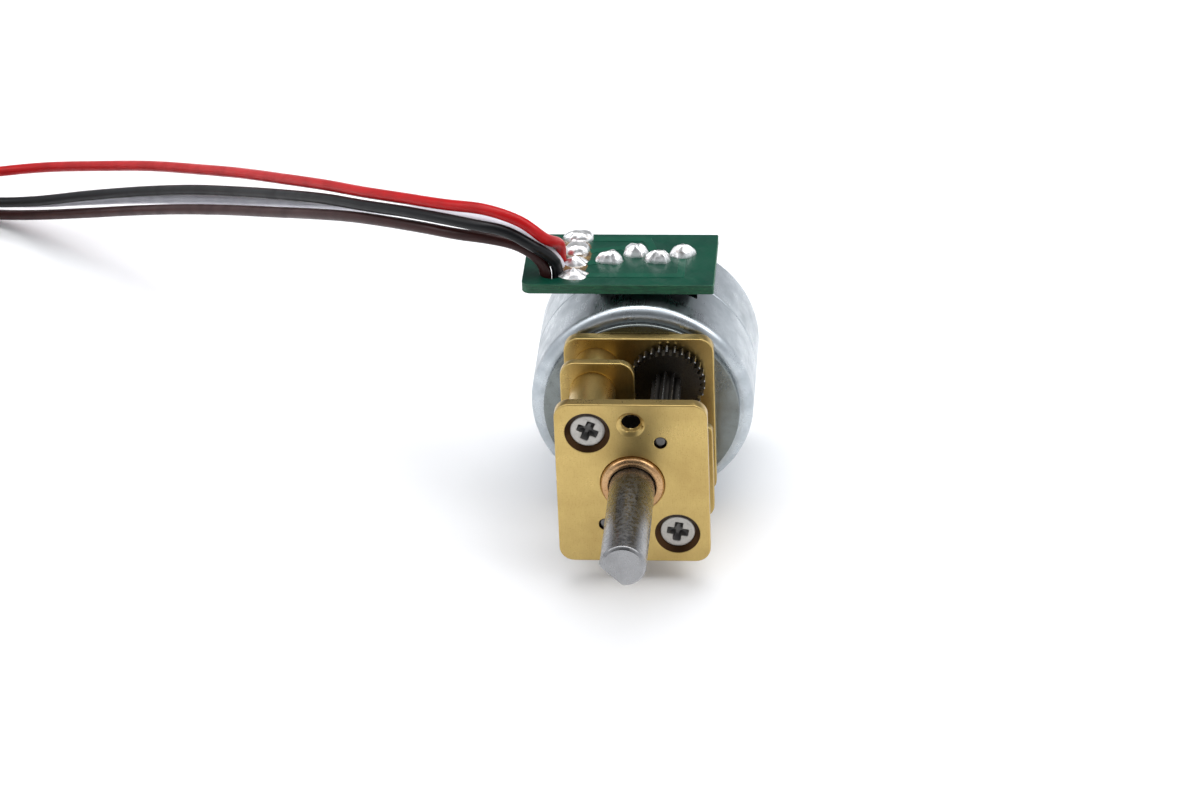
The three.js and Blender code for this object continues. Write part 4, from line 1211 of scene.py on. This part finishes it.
def traces():
    """Copper tracks under the mask, from each pin to its lead's pad."""
    routes = {
        "brown": [PAD_PLACES["brown"], (-3.4, 6.8), (2.7, 6.8), PIN_PLACES[3]],
        "black": [PAD_PLACES["black"], (-3.6, 8.45), PIN_PLACES[0]],
        "white": [PAD_PLACES["white"], (-3.4, 10.1), (-1.4, 10.6), PIN_PLACES[1]],
        "red": [PAD_PLACES["red"], (-3.2, 11.75), (0.2, 11.75), PIN_PLACES[2]],
    }
    half = TRACE["width"] / 2
    for colour, route in routes.items():
        points = [Vector(p) for p in route]
        left, right = [], []
        for i, here in enumerate(points):
            near = points[max(0, i - 1) : i + 2]
            ways = [(b - a).normalized() for a, b in zip(near, near[1:])]
            normals = [Vector((-way.y, way.x)) for way in ways]
            middle = sum(normals, Vector((0, 0))).normalized()
            reach = middle * half / max(0.5, middle.dot(normals[0]))
            left.append(tuple(here + reach))
            right.append(tuple(here - reach))
        outline = rounded([(*p, 0.12) for p in left + right[::-1]], 4)
        shape = Shape()
        top = BOARD_TOP + TRACE["height"]
        rings = [
            shape.ring(outline, BOARD_TOP - 0.01),
            shape.ring(outline, top - 0.02),
            shape.ring(inset(outline, 0.02), top),
        ]
        shape.wall(*rings)
        shape.cap(rings[0])
        shape.cap(rings[-1])
        shape.build("trace_" + colour, "root", "board_green", (), ["board_trace"], ROW_FRAME)


DROP_FOOT = 0.012  # height of a drop's rim above the board


def blob(name, x, y, half, height, seed, finish, replaced=(), pointed=0.0, rough=0.1):
    """A frozen drop on the board: an uneven dome or, when pointed is 1, an uneven cone."""
    shape = Shape()
    rings = []
    levels, segments = 20, 48
    where = Vector((seed * 3.1, seed * 1.7, seed * 0.9))
    for i in range(levels):
        t = i / levels
        dome = (math.cos(math.pi / 2 * t) ** 0.7, math.sin(math.pi / 2 * t))
        out, up = (a + (b - a) * pointed for a, b in zip(dome, ((1 - t) ** 1.1, t)))
        ring = []
        for j in range(segments):
            angle = 2 * math.pi * j / segments
            way = Vector((math.cos(angle), math.sin(angle), 0))
            lobes = noise.noise(where + way * 0.9) * rough * 2.4 + noise.noise(where + way * 2.3) * rough
            a, b = (size * out * (1 + lobes) * part for size, part in zip(half, way))
            dent = noise.noise(where + Vector((a, b, up * 0.8)) * 2.2) * rough * height * t * 1.6
            level = min(height, max(0, height * up + dent))
            ring.append(Vector((x + a, y + b, BOARD_TOP + DROP_FOOT + level)))
        rings.append(shape.loop(ring))
    foot = shape.ring([shape.points[i].xy for i in rings[0]], BOARD_TOP - 0.01)
    shape.wall(foot, *rings)
    shape.add(tuple(foot))
    shape.add(tuple(rings[-1]))
    slot = "solder" if finish == "solder" else "board_green"
    return shape.build(name, "root", slot, replaced, [finish], ROW_FRAME)


LEAD_JOINTS = {  # half sizes along X and Y, and how pointed
    "brown": ((0.98, 0.62), 0.9),
    "black": ((0.94, 0.66), 0.75),
    "white": ((0.9, 0.74), 0.1),
    "red": ((0.94, 0.7), 0.05),
}


def joints():
    """The joints on the four pins and on the four leads' strands."""
    for i, (x, y) in enumerate(PIN_PLACES):
        node = "pin_solder_" + str(i + 1)
        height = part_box(node)[1].z / MM - BOARD_TOP - DROP_FOOT
        blob(node + "_joint", x, y, (0.86, 0.62), height, 4 + i, "solder", [node], 0.25, 0.17)
    for i, (colour, (x, y)) in enumerate(PAD_PLACES.items()):
        node = "lead_solder_" + colour
        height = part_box(node)[1].z / MM - BOARD_TOP - DROP_FOOT
        half, pointed = LEAD_JOINTS[colour]
        blob(node + "_joint", x + 0.12, y, half, height, 11 + i, "solder", [node], pointed, 0.14)
    middle = sum(y for _, y in PAD_PLACES.values()) / len(PAD_PLACES)
    blob("flux_residue", -4.6, middle, (1.1, 3.3), 0.05, 21, "flux", (), 0.0, 0.12)


board()
traces()
joints()


STRAND_DIAMETER = 0.32


def strand(colour):
    """Under the board, a lead's tinned strand turns from the slot to its pad's hole."""
    start = leads[colour][2][0]
    pad = Vector((*PAD_PLACES[colour], BOARD_BOTTOM - 0.11))
    below = Vector((start.x, start.y, BOARD_BOTTOM - 0.16))
    middle = below.lerp(pad, 0.6) - Vector((0, 0, 0.08))
    points = [start, below, middle, pad, Vector((pad.x, pad.y, BOARD_TOP + 0.1))]
    return tube("strand_" + colour, smooth_line(points, LINE_STEPS), STRAND_DIAMETER, "solder")


for colour in leads:
    strand(colour)

# ---- CAD nodes that stay ----

KEPT = {
    "shaft_steel": ["motor_shaft"],
    "black_plastic": ["rotor_hub", "front_bobbin", "rear_bobbin"],
    "ferrite": ["rotor_magnet"],
    "bronze": ["thrust_washer_front", "thrust_washer_rear", "rear_bearing"],
    "zinc_steel": ["front_claw_plate", "rear_claw_plate"],
    "copper_wire": ["front_winding", "rear_winding"],
    "solder": ["terminal_pin_1", "terminal_pin_2", "terminal_pin_3", "terminal_pin_4"],
}


def keep(name, finish):
    """Gives a CAD node its finish, broken edges and even shading."""
    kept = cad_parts[name]
    kept.data.materials.clear()
    kept.data.materials.append(FINISHES[finish])
    kept.data.polygons.foreach_set("use_smooth", [True] * len(kept.data.polygons))
    kept.modifiers.new("weld", "WELD").merge_threshold = 0.001 * MM
    edges = kept.modifiers.new("edges", "BEVEL")
    edges.width = 0.04 * MM
    edges.segments = 2
    edges.limit_method = "ANGLE"
    edges.angle_limit = math.radians(45)
    kept.modifiers.new("even_shade", "WEIGHTED_NORMAL")


for finish, names in KEPT.items():
    for name in names:
        keep(name, finish)

# ---- The coil's tape, and each lead's line in metres ----


def coil_tie():
    """A narrow band of tape round the coil's side towards the motor."""
    outer, inner = COIL["radius"] + 0.45, COIL["radius"] - COIL["tighten"] * COIL["turns"] - 0.45
    top = COIL_LAYERS["red"] + 0.43
    corners = [(inner, 0.03, 0.02), (outer, 0.03, 0.02), (outer, top, 0.3), (inner, top, 0.3)]
    section = rounded(corners, 4)
    shape = Shape()
    half, steps = 0.9, 6
    for grown in (0.04, 0.0):
        rings = []
        for i in range(steps + 1):
            y = COIL["y"] - half + 2 * half * i / steps
            grown_section = inset(section, -grown)
            rings.append(shape.loop(Vector((COIL["x"] + r, y, max(0.01, up))) for r, up in grown_section))
        shape.wall(*rings)
        ends = (rings[0], rings[-1]) if grown else ends + (rings[0], rings[-1])
    shape.wall(ends[0], ends[2])
    shape.wall(ends[1], ends[3])
    return shape.build("coil_tie", "root", "lead_white", (), ["tape"], ROW_FRAME)


tie = coil_tie()
for colour, (made, tip, line) in leads.items():
    [list(point * MM) for point in line]

# ---- Stage ----

TARGET = Vector((0, 0, 0.008))


def floor():
    """A wide pale table top."""
    shape = Shape()
    rim = shape.ring(circle(2500, segments=96), 0.0)
    shape.cap(rim)
    mesh = bpy.data.meshes.new("floor")
    mesh.from_pydata([point * MM for point in shape.points], [], shape.faces)
    made = bpy.data.objects.new("floor", mesh)
    bpy.context.scene.collection.objects.link(made)
    surface = Finish("floor", (0.93, 0.935, 0.945), 0.6)
    surface.set("Roughness", surface.range(surface.noise(40, 3), 0.3, 0.7, 0.55, 0.65))
    grain = surface.range(surface.noise(6, 3), 0.3, 0.7)
    surface.set("Base Color", surface.mix(grain, (0.925, 0.93, 0.94), (0.935, 0.94, 0.95)))
    mesh.materials.append(surface.material)
    made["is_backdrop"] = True


def panel(name, azimuth, elevation, distance, size, radiance):
    """A soft box that shines at the object. Its radiance is that of its face."""
    turn, rise = math.radians(azimuth), math.radians(elevation)
    way = Vector((math.sin(turn) * math.cos(rise), -math.cos(turn) * math.cos(rise), math.sin(rise)))
    data = bpy.data.lights.new(name, "AREA")
    data.shape = "RECTANGLE"
    data.size, data.size_y = size
    data.energy = radiance * math.pi * size[0] * size[1]
    made = bpy.data.objects.new(name, data)
    made.location = TARGET + way * distance
    made.rotation_euler = (-way).to_track_quat("-Z", "Y").to_euler()
    bpy.context.scene.collection.objects.link(made)


# Brightness of the surroundings by the sine of the elevation, behind, in front of and beside the object.
SURROUNDINGS = {
    "behind": ((0.0, 0.95), (0.13, 0.8), (0.26, 0.16), (0.68, 0.18), (0.86, 0.8), (1.0, 1.0)),
    "front": ((0.0, 0.8), (0.2, 0.3), (0.45, 0.14), (0.82, 0.2), (0.92, 0.7), (1.0, 1.0)),
    "beside": ((0.0, 0.95), (0.3, 0.85), (0.6, 0.8), (1.0, 1.0)),
}


SKY_TINT = (0.97, 0.99, 1.03)


def sky():
    """Soft light from above and from both sides, with darker surroundings behind and in front."""
    world = bpy.data.worlds.new("sky")
    bpy.context.scene.world = world
    world.use_nodes = True
    nodes = Nodes(world.node_tree)
    place = nodes.node("TexCoord").outputs["Generated"]
    way = nodes.node("SeparateXYZ", {"Vector": place}).outputs
    parts = {}
    for name, stops in SURROUNDINGS.items():
        ramp = nodes.node("ValToRGB", {"Fac": way["Z"]})
        while len(ramp.color_ramp.elements) < len(stops):
            ramp.color_ramp.elements.new(0.5)
        for element, (position, value) in zip(ramp.color_ramp.elements, stops):
            element.position = position
            element.color = (*(value * tint for tint in SKY_TINT), 1)
        parts[name] = ramp.outputs["Color"]
    sideways = nodes.node("Math", {0: way["X"]}, operation="ABSOLUTE").outputs[0]
    blend = parts["front"]
    for name, source, low, high in (("behind", way["Y"], -0.15, 0.15), ("beside", sideways, 0.45, 0.8)):
        share = nodes.node("MapRange", {"Value": source, "From Min": low, "From Max": high}).outputs[0]
        blend = nodes.node("Mix", {0: share, 6: blend, 7: parts[name]}, data_type="RGBA").outputs[2]
    background = nodes.tree.nodes["Background"].inputs
    nodes.plug(background["Color"], blend)
    nodes.plug(background["Strength"], 1.0)


floor()
sky()
panel("overhead", 180, 72, 0.55, (0.55, 0.34), 3.2)
panel("left", -85, 47, 0.6, (0.3, 0.4), 2.2)
panel("right", 85, 47, 0.6, (0.3, 0.4), 3.2)

view = bpy.context.scene.view_settings
view.view_transform = "Standard"
view.look = "None"

# ---- Sizes, and the end ----

sizes = {"cad": cad_bounds, "visual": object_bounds()}
{name: [list(corner) for corner in corners] for name, corners in sizes.items()}
